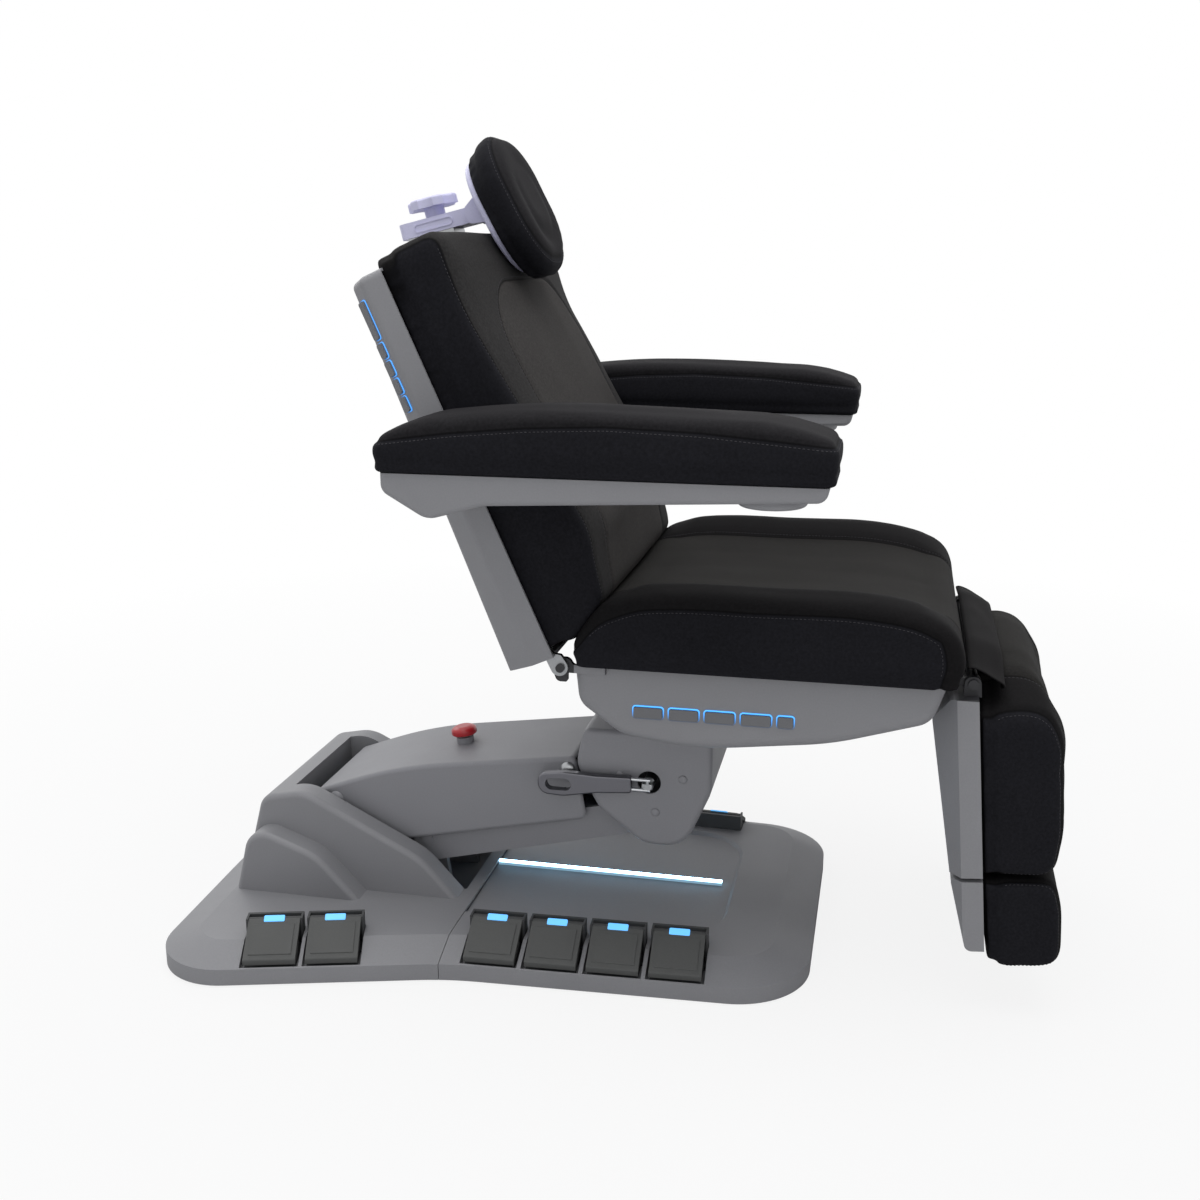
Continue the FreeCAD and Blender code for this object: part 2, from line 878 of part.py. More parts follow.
def diagonal_rod(radius, start, end):
    """A round piece along the diagonal, measured from the link's rear pin."""
    direction = V(math.cos(diagonal_angle), 0, math.sin(diagonal_angle))
    foot = V(link_rear_x, 0, link_rear_z) + direction * start
    return Part.makeCylinder(radius, end - start, foot, direction)


def lift_actuator():
    """The lift drive: an eye on the link's rear pin, a gear housing and the outer tube."""
    eye = rod_along_y(pin_radius + 7, link_rear_x, link_rear_z, -actuator_eye_half, actuator_eye_half)
    housing = diagonal_rod(housing_radius, 8, 8 + housing_length)
    tube = diagonal_rod(tube_radius, housing_length / 2, tube_end)
    body = fuse([eye, housing, tube])
    eye_bore = rod_along_y(pin_radius + running_gap, link_rear_x, link_rear_z, -slot_half, slot_half)
    return body.cut([diagonal_rod(rod_radius + running_gap, rod_start - 6, tube_end + 1), eye_bore])


def lift_rod():
    """The rod that slides out of the tube and ends just short of the arm's front hub."""
    return diagonal_rod(rod_radius, rod_start, diagonal_length - rod_short)


# Head


def head_corners():
    return [
        (head_back + 12, head_top, 14),
        (head_back, arm_front_z + 16, 40),
        (head_back + 34, link_front_z + 10, 60),
        (link_front_x - 28, head_bottom, 50),
        (link_front_x + 36, head_bottom, 46),
        (head_front, brake_z - 10, 60),
        (head_front, head_top, 14),
    ]


def head_cover():
    """Two cheeks, a front wall and a top round the head, open behind for the arm and the link."""
    outer = prism(head_corners(), "xz", -head_half, head_half)
    outer = outer.makeFillet(head_edge_round, side_edges(outer, head_half))
    half = head_half - head_wall
    hollow = prism(inset(head_corners(), head_wall), "xz", -half, half)
    behind = box(2 * head_back, link_front_x + 44, -half, half, 0, head_top - head_wall)
    flange_hole = Part.makeCylinder(flange_radius + panel_gap, head_top - brake_z, V(0, 0, brake_z))
    brake_hole = rod_along_y(brake_hole_radius, 0, brake_z, -head_half - 1, 0)
    return outer.cut([hollow, behind, flange_hole, brake_hole])


def head_frame():
    """Two ear plates under a round bearing flange with the swivel bore."""
    under = flange_top - flange_thickness
    front = head_front - 20
    corners = [
        (arm_front_x - ear_radius, arm_front_z + 6, 6),
        (arm_front_x - ear_radius, arm_front_z - ear_radius, ear_radius - 1),
        (-70, link_front_z + 30, 30),
        (link_front_x - 22, link_front_z - 18, 18),
        (link_front_x + 20, link_front_z - 18, 18),
        (front, brake_z, 40),
        (front, under + 1, 0),
        (-70, under + 1, 0),
        (-86, arm_front_z + 12, 20),
        (arm_front_x + 4, arm_front_z + ear_radius, 6),
    ]
    ears = on_both_sides(prism(corners, "xz", ear_inner, ear_inner + ear_plate))
    flange = Part.makeCylinder(flange_radius, flange_thickness, V(0, 0, under))
    low = flange_top - swivel_shaft_length
    boss = Part.makeCylinder(swivel_shaft_radius + 14, swivel_shaft_length, V(0, 0, low))
    brace = box(front - 12, front, -ear_inner - 1, ear_inner + 1, brake_z, under + 1)
    swivel_hole = swivel_shaft_radius + running_gap
    swivel_bore = Part.makeCylinder(swivel_hole, 2 * swivel_shaft_length, V(0, 0, low - 1))
    bores = [
        rod_along_y(pin_radius + seat_fit, x, z, -slot_half, slot_half)
        for x, z in ((arm_front_x, arm_front_z), (link_front_x, link_front_z))
    ]
    bolt_bore = rod_along_y(bolt_radius + seat_fit, 0, brake_z, -slot_half, 0)
    return fuse(ears + [flange, boss, brace]).cut([swivel_bore, bolt_bore] + bores)


def head_pins():
    """The two front pivot pins and the eye bolt of the swivel brake."""
    bolt = rod_along_y(bolt_radius, 0, brake_z, -bolt_reach, 2 - ear_inner)
    bolt = bolt.makeFillet(4, [e for e in bolt.Edges if abs(e.CenterOfMass.y + bolt_reach) < 0.1])
    flat = box(-bolt_reach, bolt_reach, -2 * bolt_reach, -head_half - 1, 0, brake_z - bolt_flat_half)
    other_flat = flat.mirror(V(0, 0, brake_z), V(0, 0, 1))
    eye = Part.makeCylinder(lever_pin_radius + running_gap, brake_z, V(0, lever_y, brake_z / 2))
    return Part.makeCompound([
        domed_pin(arm_front_x, arm_front_z),
        plain_pin(link_front_x, link_front_z),
        bolt.cut([flat, other_flat, eye]),
    ])


def lever_fork(grow):
    """Two straight wires joined by the cam pin, which turns in the eye of the bolt."""
    half = lever_fork_half
    pin = Part.makeCylinder(lever_pin_radius, 2 * half, V(0, lever_y, brake_z - half))
    wires = [
        Part.makeCylinder(lever_wire_radius + grow, lever_fork_reach + 4 + grow,
                          V(4, lever_y, brake_z + side * half), V(-1, 0, 0))
        for side in (-1, 1)
    ]
    return fuse([pin] + wires)


def lever_grip():
    """A flat moulded handle with an oval finger hole."""
    drop = brake_z - 4
    half = grip_height / 2
    corners = [
        (grip_root, brake_z + 12.5, 4),
        (grip_root, brake_z - 12.5, 4),
        (grip_root - 52, drop - half * 0.62, 60),
        (grip_tip + 40, drop - half * 1.1, 40),
        (grip_tip, drop - half, 17),
        (grip_tip, drop + half * 0.6, 14),
        (grip_tip + 40, drop + half * 0.85, 40),
        (grip_root - 52, drop + half * 0.75, 60),
    ]
    thick = grip_thickness / 2
    grip = prism(corners, "xz", lever_y - thick, lever_y + thick)
    grip = grip.makeFillet(3, side_edges(grip, thick, lever_y))
    radius = grip_hole_height / 2 - 0.1
    left, low, right, high = grip_hole()
    hole = prism(
        [(left, low, radius), (right, low, radius), (right, high, radius), (left, high, radius)],
        "xz", lever_y - grip_thickness, lever_y + grip_thickness,
    )
    return grip.cut([hole, lever_fork(seat_fit)])


def grip_hole():
    """The finger hole's box: left, low, right, high."""
    left = grip_tip + grip_rim
    low = brake_z - 7 - grip_hole_height / 2
    return left, low, left + grip_hole_length, low + grip_hole_height


def turntable():
    """A disc on the head's flange with a shaft below and two tilt ears above."""
    low = flange_top + slide_gap
    disc = Part.makeCylinder(flange_radius, turntable_thickness, V(0, 0, low))
    shaft_foot = V(0, 0, low + 1 - swivel_shaft_length)
    shaft = Part.makeCylinder(swivel_shaft_radius, swivel_shaft_length, shaft_foot)
    foot = low + turntable_thickness - 1
    reach = tilt_ear_radius
    ear = prism(
        [
            (tilt_x - 30, foot, 0),
            (tilt_x + 30, foot, 0),
            (tilt_x + reach, tilt_z + reach, reach - 1),
            (tilt_x - reach, tilt_z + reach, reach - 1),
        ],
        "xz", tilt_ear_inner, tilt_ear_inner + tilt_ear,
    )
    bore = rod_along_y(tilt_pin_radius + running_gap, tilt_x, tilt_z, -flange_radius, flange_radius)
    return fuse([disc, shaft] + on_both_sides(ear)).cut(bore)


# Seat


def pan_corners(top):
    return [
        (pan_back, top, 0),
        (pan_back + 6, pan_top - 46, 30),
        (pan_back + 66, pan_bottom + 14, 70),
        (90, pan_bottom, 400),
        (270, pan_bottom + 22, 400),
        (pan_front - 18, pan_top - 42, 34),
        (pan_front, top, 0),
    ]


def pan_form(corners, half, rounding):
    form = prism(corners, "xz", -half, half)
    keel = [e for e in side_edges(form, half) if e.BoundBox.ZMin < pan_top - 1]
    return form.makeFillet(rounding, keel)


def seat_pan():
    """The belly cover under the seat: a boat-shaped shell with an opening for the tilt ears."""
    outer = pan_form(pan_corners(pan_rim), pan_half, pan_round)
    inner_corners = inset(pan_corners(pan_rim + pan_wall), pan_wall)
    inner_corners[0] = (pan_back + pan_wall, pan_rim + 1, 0)
    inner_corners[-1] = (pan_front - pan_wall, pan_rim + 1, 0)
    hollow = pan_form(inner_corners, pan_half - pan_wall, pan_round - pan_wall)
    half = pan_opening_half
    opening = prism(
        [
            (pan_opening_back, -half, 20),
            (pan_opening_front, -half, 20),
            (pan_opening_front, half, 20),
            (pan_opening_back, half, 20),
        ],
        "xy", 0, pan_top - 28,
    )
    windows = [seat_key_form(number, panel_gap / 2, 2 * key_depth) for number in range(key_count)]
    notch_end = hinge_x + bracket_reach + panel_gap
    bracket_notch = box(2 * pan_back, notch_end, rail_outer - 1, 2 * pan_half, pan_top, seat_bottom)
    arm_inner = leg_ear_y - panel_gap
    arm_outer = leg_ear_y + leg_ear + panel_gap
    arm_notch = box(pan_front - rail_width, seat_front, arm_inner, arm_outer, pan_top, seat_bottom)
    notches = on_both_sides(bracket_notch) + on_both_sides(arm_notch)
    return outer.cut([hollow, opening] + windows + notches)


def seat_key_form(number, grow, depth):
    """One key's outline run through the side of the pan."""
    small = number == key_count - 1
    width = key_small_width if small else key_width
    shift = (key_width - key_small_width) / 2 if small else 0
    x = key_first_x + key_pitch * number - shift
    half = width / 2 + grow
    tall = key_height / 2 + grow
    corners = [
        (x - half, key_z - tall, 3),
        (x + half, key_z - tall, 3),
        (x + half, key_z + tall, 3),
        (x - half, key_z + tall, 3),
    ]
    front = -pan_half - key_proud - grow
    return prism(corners, "xz", front, front + depth)


def seat_key(number):
    """A pressable key set in the side of the pan."""
    key = seat_key_form(number, 0, key_depth)
    return key.makeFillet(1.5, [e for e in key.Edges if abs(e.CenterOfMass.y + pan_half + key_proud) < 0.1])


def seat_frame():
    """A board on two rails, with tilt lugs below, hinge brackets behind and leg ears in front."""
    low = pan_top + panel_gap
    board = box(pan_back + 14, pan_front - 10 - pan_board_gap, -rail_outer, rail_outer, low, board_top)
    rail = box(pan_back + 14, pan_front - 24, rail_outer - rail_width, rail_outer, low - rail_height, low + 1)
    lug_reach = tilt_ear_radius - 2
    lug_start = tilt_ear_inner + tilt_ear + slide_gap
    lug_end = tilt_ear_inner + 2 * tilt_ear
    lug = prism(
        [
            (tilt_x - 26, low + 1, 0),
            (tilt_x - lug_reach, tilt_z - lug_reach, lug_reach - 1),
            (tilt_x + lug_reach, tilt_z - lug_reach, lug_reach - 1),
            (tilt_x + 26, low + 1, 0),
        ],
        "xz", lug_start, lug_end,
    )
    tilt_pin = rod_along_y(tilt_pin_radius, tilt_x, tilt_z, -lug_end, lug_end)
    bracket_outer = lug_inner - slide_gap
    bracket = prism(
        [
            (hinge_x - 13, hinge_z - 6, 10),
            (hinge_x - 7, hinge_z - 22, 8),
            (hinge_x + 8, hinge_z - 22, 3),
            (hinge_x + 8, low, 3),
            (hinge_x + bracket_reach, low, 0),
            (hinge_x + bracket_reach, board_top, 0),
            (hinge_x + 16, board_top, 6),
            (hinge_x + 10, hinge_z + 12, 10),
            (hinge_x - 11, hinge_z + 11, 10),
        ],
        "xz", bracket_outer - bracket_plate, bracket_outer,
    )
    link = box(pan_back + 14, hinge_x + bracket_reach, rail_outer - 1, bracket_outer - 1, low, board_top)
    hinge_pin = rod_along_y(hinge_pin_radius, hinge_x, hinge_z, bracket_outer - 2, lug_inner + lug_plate + 4)
    leg_arm = box(pan_front - rail_width, leg_hinge_x, leg_ear_y, leg_ear_y + leg_ear, low, board_top)
    leg_ring = rod_along_y(leg_ear_radius, leg_hinge_x, leg_hinge_z, leg_ear_y, leg_ear_y + leg_ear)
    leg_pin_end = leg_ear_y + 2 * leg_ear + 4
    leg_pin = rod_along_y(leg_pin_radius, leg_hinge_x, leg_hinge_z, -leg_pin_end, leg_pin_end)
    pieces = [board, tilt_pin, leg_pin]
    for piece in (rail, lug, bracket, link, hinge_pin, leg_arm, leg_ring):
        pieces += on_both_sides(piece)
    return fuse(pieces)


def seat_profile(crown):
    return [
        (seat_back, seat_bottom, 10),
        (seat_back + 12, seat_bottom + 40, 50),
        (seat_back + 44, seat_top - 16 + crown * 0.4, 45),
        (seat_back + 136, seat_top + crown, 700),
        (seat_front - 110, seat_top - 2 + crown, 500),
        (seat_front - 16, seat_top - 26 + crown * 0.5, 44),
        (seat_front, seat_bottom + 24, 50),
        (seat_front - 14, seat_bottom, 12),
    ]


def seat_drives():
    """The back, leg and tilt drives: motor tubes hung side by side under the seat board."""
    drives = []
    level = pan_top - drive_radius - 6
    for number in range(3):
        x = 70 + 62 * (number % 2)
        y = drive_pitch * (number - 1)
        joint = x + drive_length * 0.45
        motor = Part.makeCylinder(drive_radius, joint - x, V(x, y, level), V(1, 0, 0))
        tube_foot = V(joint - 1, y, level)
        tube = Part.makeCylinder(drive_radius * 0.6, drive_length * 0.55 + 1, tube_foot, V(1, 0, 0))
        hanger = box(x + 20, x + 40, y - 12, y + 12, level, pan_top + panel_gap)
        drives.append(fuse([motor, tube, hanger]))
    return Part.makeCompound(drives)


# Back


def set_back(shape):
    return leaning(shape, back_lean, hinge_x, hinge_z)


def back_profile(crown):
    return [
        (soft_gap, back_bottom, 8),
        (back_side_depth * 0.45, back_bottom + 15, 30),
        (back_side_depth + 2, back_bottom + 46, 24),
        (back_lumbar_depth + crown * 0.5, back_bottom + 130, 90),
        (back_side_depth - 8 + crown, back_top - 110, 320),
        (back_side_depth + 6, back_top, 20),
        (soft_gap, back_top, 12),
    ]


def shell_depth(level):
    """How far the back shell reaches to the rear at a height."""
    share = (level - shell_bottom) / (shell_top - shell_bottom)
    return shell_depth_bottom + (shell_depth_top - shell_depth_bottom) * share


def shell_form(shrink, front):
    """Upright sides, slanted corners and a flat rear, tapering to the top."""
    half = shell_half - shrink
    rear_half = shell_rear_half - shrink / 2
    wires = []
    for level in (shell_bottom + shrink, shell_top - shrink):
        rear = shrink - shell_depth(level)
        points = [
            V(front, -half, level),
            V(-shell_side_depth, -half, level),
            V(rear, -rear_half, level),
            V(rear, rear_half, level),
            V(-shell_side_depth, half, level),
            V(front, half, level),
        ]
        wires.append(Part.makePolygon(points + points[:1]))
    return Part.makeLoft(wires, True, True)


def rounded_shell():
    form = shell_form(0, 0)
    upright = [e for e in form.Edges if e.BoundBox.ZLength > 400 and e.CenterOfMass.x < -5]
    form = form.makeFillet(14, upright)
    rim = [e for e in form.Edges if e.BoundBox.ZMin > shell_top - 1 and e.CenterOfMass.x < -shell_side_depth]
    return form.makeFillet(shell_edge_round, rim)


def back_shell():
    """The rear casing of the back, with openings for the hinge lugs, armrest shafts, post and keys."""
    lug_middle = lug_inner + lug_plate / 2
    lug_slot = box(-lug_slot_depth, 1, lug_middle - 6, lug_middle + 6, 0, shell_bottom + 10)
    shaft_bore = rod_along_y(rest_shaft_radius + running_gap, rest_pivot_n, rest_pivot_u, 0, 2 * shell_half)
    post_slot = box(post_rear - 1, 1, -post_half - 1, post_half + 1, shell_top - 10, shell_top + 1)
    cuts = [shell_form(shell_wall, 1), post_slot] + on_both_sides(lug_slot) + on_both_sides(shaft_bore)
    cuts += [back_key_form(number, panel_gap / 2, 2 * key_depth) for number in range(key_count)]
    return set_back(rounded_shell().cut(cuts))


def back_key_normal():
    """The way the slanted corner faces, near side, as (ahead, across)."""
    run = shell_depth(back_key_low + 2 * back_key_pitch) - shell_side_depth
    across = shell_half - shell_rear_half
    size = math.hypot(run, across)
    return -across / size, -run / size


def back_key_level(number):
    """The key's height on the back and its length; the last one is the long rocker."""
    if number == key_count - 1:
        return rocker_level, rocker_length
    return back_key_low + back_key_pitch * number, back_key_length


def back_key_form(number, grow, depth):
    """One key's outline run through the slanted corner of the shell."""
    level, length = back_key_level(number)
    half = back_key_width / 2 + grow
    tall = length / 2 + grow
    corners = [
        (-half, level - tall, 3),
        (half, level - tall, 3),
        (half, level + tall, 3),
        (-half, level + tall, 3),
    ]
    key = prism(corners, "yz", key_proud + grow - depth, key_proud + grow)
    ahead, across = back_key_normal()
    key.rotate(V(0, 0, 0), V(0, 0, 1), math.degrees(math.atan2(across, ahead)))
    middle = (shell_side_depth + shell_depth(level)) / 2
    key.translate(V(-middle, -(shell_half + shell_rear_half) / 2, 0))
    return key


def back_key(number):
    """A pressable key on the rear corner of the back."""
    return set_back(back_key_form(number, 0, key_depth))


def set_bar(shape):
    return leaning(shape, bar_rise, knob_x, bar_z)


def back_frame():
    """The back's board with two hinge lugs below and the post that carries the headrest."""
    board_front = -1.5
    board_rear = board_front - board_thickness
    board = box(board_rear, board_front, -board_half, board_half, shell_bottom + 10, shell_top - 12)
    reach = lug_radius
    lug = prism(
        [
            (-reach, 2 - reach, reach - 1),
            (reach, 2 - reach, reach - 1),
            (reach - 5, shell_bottom - 2, 4),
            (-2, shell_bottom + 4, 4),
            (-2, shell_bottom + lug_height, 0),
            (-16, shell_bottom + lug_height, 0),
        ],
        "xz", lug_inner, lug_inner + lug_plate,
    )
    step = box(-12, -2, board_half - 4, lug_inner + 2, shell_bottom + 22, shell_bottom + 48)
    post = box(post_rear, post_front, -post_half, post_half, shell_top - 90, shell_top + 58)
    foot = box(post_rear, board_front - 1, -post_half, post_half, shell_top - 90, shell_top - 60)
    bore = rod_along_y(hinge_pin_radius + running_gap, 0, 0, -shell_half, shell_half)
    body = fuse([board, post, foot] + on_both_sides(lug) + on_both_sides(step)).cut(bore)
    under = -bar_thickness / 2 - slide_gap
    above_bar = set_bar(box(-200, 200, -200, 200, under, 200))
    head = box(-post_head, post_head, -post_half, post_half, under - post_head_thickness, under)
    stud = Part.makeCylinder(stud_radius, bar_thickness + knob_stem_height + 10, V(0, 0, under - 2))
    return fuse([set_back(body).cut(above_bar), set_bar(head.fuse(stud))])


def headrest_bar():
    """A flat bar with a slot for the knob's stud and a barrel at its front end."""
    half = bar_thickness / 2
    bar = prism(
        [
            (-bar_back, -bar_half, 12),
            (bar_front, -bar_half, 0),
            (bar_front, bar_half, 0),
            (-bar_back, bar_half, 12),
        ],
        "xy", -half, half,
    )
    barrel = rod_along_y(half, bar_front, 0, -bar_half, bar_half)
    slot_half = stud_radius + slide_gap
    slot = prism(
        [
            (-bar_slot_back, -slot_half, slot_half - 0.1),
            (bar_slot_front, -slot_half, slot_half - 0.1),
            (bar_slot_front, slot_half, slot_half - 0.1),
            (-bar_slot_back, slot_half, slot_half - 0.1),
        ],
        "xy", -bar_thickness, bar_thickness,
    )
    bore = rod_along_y(head_tilt_pin + running_gap, bar_front, 0, -2 * bar_half, 2 * bar_half)
    return set_bar(fuse([bar, barrel]).cut([slot, bore]))


def headrest_knob():
    """A lobed hand knob on a hub, bored for the stud."""
    low = bar_thickness / 2 + slide_gap
    hub = Part.makeCylinder(knob_stem_radius, knob_stem_height + 1, V(0, 0, low))
    head = Part.makeCylinder(knob_radius, knob_height, V(0, 0, low + knob_stem_height))
    hollows = []
    for lobe in range(knob_lobes):
        angle = 2 * math.pi * (lobe + 0.5) / knob_lobes
        reach = knob_radius + knob_hollow_radius * 0.6
        place = V(reach * math.cos(angle), reach * math.sin(angle), low)
        hollows.append(Part.makeCylinder(knob_hollow_radius, 2 * knob_height + knob_stem_height, place))
    head = head.cut(hollows)
    crest = low + knob_stem_height + knob_height
    head = head.makeFillet(4, [e for e in head.Edges if e.BoundBox.ZMin > crest - 0.1])
    bore = Part.makeCylinder(stud_radius + running_gap, knob_stem_height + 12, V(0, 0, low - 1))
    return set_bar(fuse([hub, head]).cut(bore))


def set_head(shape):
    return leaning(shape, head_lean, head_hinge_x, head_hinge_z)


def oval_corners(half, low, high):
    rounding = (high - low) * 0.4
    return [(-half, low, rounding), (half, low, rounding), (half, high, rounding), (-half, high, rounding)]


def headrest_plate():
    """The plate behind the head pad, with two lugs and the tilt pin."""
    front = head_plate_rear + head_plate_thickness
    corners = oval_corners(head_plate_half, head_plate_low, head_plate_high)
    plate = prism(corners, "yz", head_plate_rear, front)
    plate = plate.makeFillet(5, [e for e in plate.Edges if abs(e.CenterOfMass.x - head_plate_rear) < 0.1])
    reach = bar_thickness / 2
    lug = prism(
        [
            (-reach, -reach, reach - 1),
            (head_plate_rear + 2, -reach - 12, 0),
            (head_plate_rear + 2, reach + 12, 0),
            (-reach, reach, reach - 1),
        ],
        "xz", bar_half + slide_gap, bar_half + slide_gap + 9,
    )
    end = bar_half + slide_gap + 9
    pin = rod_along_y(head_tilt_pin, 0, 0, -end, end)
    return set_head(fuse([plate, pin] + on_both_sides(lug)))


def headrest_cushion():
    """An oval pad lofted forward: drawn in behind, full at its seam and crowned in front."""
    rear = head_plate_rear + head_plate_thickness + soft_gap
    stations = (
        (rear, 14.0, 0.0),
        (rear + 0.25 * head_pad_depth, 3.0, 0.0),
        (rear + 0.7 * head_pad_depth, 0.0, 0.4 * head_pad_tuck),
        (rear + head_pad_depth, 8.0, head_pad_tuck),
        (rear + head_pad_depth + head_pad_crown, 46.0, head_pad_tuck),
    )
    wires = []
    for ahead, pull, tuck in stations:
        corners = oval_corners(head_pad_half, head_pad_low + tuck, head_pad_high)
        wires.append(outline(inset(corners, pull), "yz", ahead))
    return set_head(Part.makeLoft(wires, True, False))


def rest_profile(crown):
    return [
        (rest_back, rest_bottom, 8),
        (rest_front, rest_bottom, 8),
        (rest_front, rest_top_front - 4, 16),
        (rest_front - 60, rest_top - 14 + crown * 0.6, 280),
        (rest_back + 200, rest_top - 6 + crown, 1200),
        (rest_back + 50, rest_top - 20 + crown * 0.4, 160),
        (rest_back, rest_top_back, 18),
    ]


def rest_shell_corners(top):
    return [
        (rest_back + rest_shell_inset, top, 0),
        (rest_back + rest_shell_inset, rest_bottom - rest_shell_side, 16),
        (rest_back + 68, rest_bottom - rest_shell_deep, 30),
        (rest_back + 140, rest_bottom - rest_shell_side - 14, 60),
        (rest_front - rest_shell_inset - 4, rest_bottom - rest_shell_side + 5, 14),
        (rest_front - rest_shell_inset, top, 0),
    ]


def arm_shell():
    """The near armrest's hollow shell with the hub and shaft that turn in the back."""
    inner = rest_inner + rest_shell_inset
    outer = rest_outer - rest_shell_inset
    top = rest_bottom - soft_gap
    middle = (inner + outer) / 2
    half = (outer - inner) / 2
    body = prism(rest_shell_corners(top), "xz", inner, outer)
    keel = [e for e in side_edges(body, half, middle) if e.BoundBox.ZMin < top - 1]
    body = body.makeFillet(6, keel)
    hollow_corners = inset(rest_shell_corners(top + shell_wall), shell_wall)
    hollow_corners[0] = (rest_back + rest_shell_inset + shell_wall, top + 1, 0)
    hollow_corners[-1] = (rest_front - rest_shell_inset - shell_wall, top + 1, 0)
    hollow = prism(hollow_corners, "xz", inner + shell_wall, outer - shell_wall)
    x, z = leaning_point(rest_pivot_n, rest_pivot_u, back_lean, hinge_x, hinge_z)
    hub = rod_along_y(rest_hub_radius, x, z, shell_half + 2 * panel_gap, inner + 1)
    shaft = rod_along_y(rest_shaft_radius, x, z, rest_shaft_inner, inner + 1)
    boss_low = rest_bottom - rest_shell_side - rest_boss_depth
    boss = Part.makeCylinder(rest_boss_radius, rest_boss_depth + shell_wall, V(rest_boss_x, middle, boss_low))
    boss = boss.makeFillet(rest_boss_depth - 2, [e for e in boss.Edges if e.BoundBox.ZMax < boss_low + 0.1])
    return mirrored(fuse([body.cut(hollow), hub, shaft, boss]))


def arm_pad():
    """The near armrest's cushion."""
    half = (rest_outer - rest_inner) / 2
    pad = crowned_pad(rest_profile, half, 12, 5)
    pad.translate(V(0, -rest_inner - half, 0))
    return pad


# Leg


def set_leg(shape):
    return leaning(shape, leg_lean, leg_hinge_x, leg_hinge_z)


def leg_profile(crown):
    top = leg_top - leg_shoulder * (1 - crown / leg_crown) ** 2
    return [
        (leg_rear, top, 8),
        (leg_front - 26, top + leg_crest, 46),
        (leg_front + 5 + crown, leg_top - 120, 150),
        (leg_front + 3 + crown, leg_bottom + 60, 120),
        (leg_front - 6, leg_bottom, 24),
        (leg_rear, leg_bottom, 8),
    ]


def corner_cut(level_low, level_high):
    """The slanted cut along a leg shell's rear corner."""
    over = 60
    slope = (leg_half - leg_chamfer_half) / (leg_chamfer_start - leg_shell_rear_top)
    wedge = [
        (leg_chamfer_start + over, leg_half + over * slope, 0),
        (leg_chamfer_start - over, leg_half - over * slope, 0),
        (leg_chamfer_start - over, leg_half + over * slope, 0),
    ]
    return prism(wedge, "xy", level_low, level_high)


def tub(corners, wall):
    """A shell open to the front, slanted along its rear corners."""
    low = min(u for n, u, r in corners) - 10
    high = max(u for n, u, r in corners) + 10
    outer = prism(corners, "xz", -leg_half, leg_half).cut(on_both_sides(corner_cut(low, high)))
    inner = inset(corners, wall)
    front = max(n for n, u, r in corners)
    inner = [(front + 1 if abs(n - front + wall) < 0.01 else n, u, r) for n, u, r in inner]
    shift = V(wall, 0, 0)
    slants = [cut.translated(shift) for cut in on_both_sides(corner_cut(low, high))]
    hollow = prism(inner, "xz", wall - leg_half, leg_half - wall).cut(slants)
    return outer.cut(hollow)


def leg_shell():
    """The legrest's rear casing with two hinge lugs above and two rail slots below."""
    front = leg_rear - soft_gap
    corners = [
        (front, leg_shell_top, 0),
        (leg_shell_rear_top + 26, leg_shell_top, 12),
        (leg_shell_rear_top, leg_shell_shoulder, 14),
        (leg_shell_rear_bottom, leg_bottom, 0),
        (front, leg_bottom, 0),
    ]
    shell = tub(corners, shell_wall)
    start = leg_ear_y + leg_ear + slide_gap
    lug = prism(
        [
            (-leg_ear_radius, leg_ear_radius, leg_ear_radius - 1),
            (-leg_ear_radius - 4, leg_shell_top - 2, 0),
            (leg_ear_radius, leg_shell_top - 2, 0),
            (leg_ear_radius, leg_ear_radius, leg_ear_radius - 1),
        ],
        "xz", start, start + leg_ear,
    )
    bore = rod_along_y(leg_pin_radius + running_gap, 0, 0, -leg_half, leg_half)
    slot = box(rail_rear - slide_gap, rail_front + slide_gap, rail_y - rail_half - slide_gap,
               rail_y + rail_half + slide_gap, leg_bottom - 1, leg_bottom + 2 * shell_wall)
    return set_leg(fuse([shell] + on_both_sides(lug)).cut([bore] + on_both_sides(slot)))


def foot_shell():
    """The footrest's casing with the two flat rails that slide in the legrest."""
    top = leg_bottom - foot_gap
    front = leg_rear - soft_gap
    corners = [
        (front, top, 0),
        (leg_shell_rear_bottom, top, 8),
        (leg_shell_rear_bottom + 18, foot_bottom, 10),
        (front, foot_bottom, 0),
    ]
    shell = tub(corners, shell_wall)
    inner = rail_y - rail_half
    outer = rail_y + rail_half
    rail = box(rail_rear, rail_front, inner, outer, top - 40, leg_bottom + rail_reach)
    foot = box(leg_shell_rear_bottom + 8, rail_front, inner, outer, top - 40, top - 1)
    return set_leg(fuse([shell] + on_both_sides(rail) + on_both_sides(foot)))


def foot_profile(crown):
    top = leg_bottom - foot_gap
    return [
        (leg_rear, top, 8),
        (foot_front - 6, top, 20),
        (foot_front + 2 + crown * 0.5, top - 46, 60),
        (foot_front, foot_bottom - foot_overhang + 4, 24),
        (leg_rear + 4, foot_bottom - foot_overhang, 18),
    ]


def knee_flap():
    """The bent strip of cloth from the seat's front edge over the top of the legrest."""
    thick = flap_thickness
    corners = [
        (flap_rear_x, flap_top, 0),
        (flap_rear_x, flap_low, flap_bend),
        (flap_front_x, flap_low, 0),
        (flap_front_x, flap_low + thick, 0),
        (flap_rear_x + thick, flap_low + thick, flap_bend - thick),
        (flap_rear_x + thick, flap_top, 0),
    ]
    return prism(corners, "xz", -flap_half, flap_half)


def save(name, shape):
    shape.exportStep(f"parts/{name}.step")


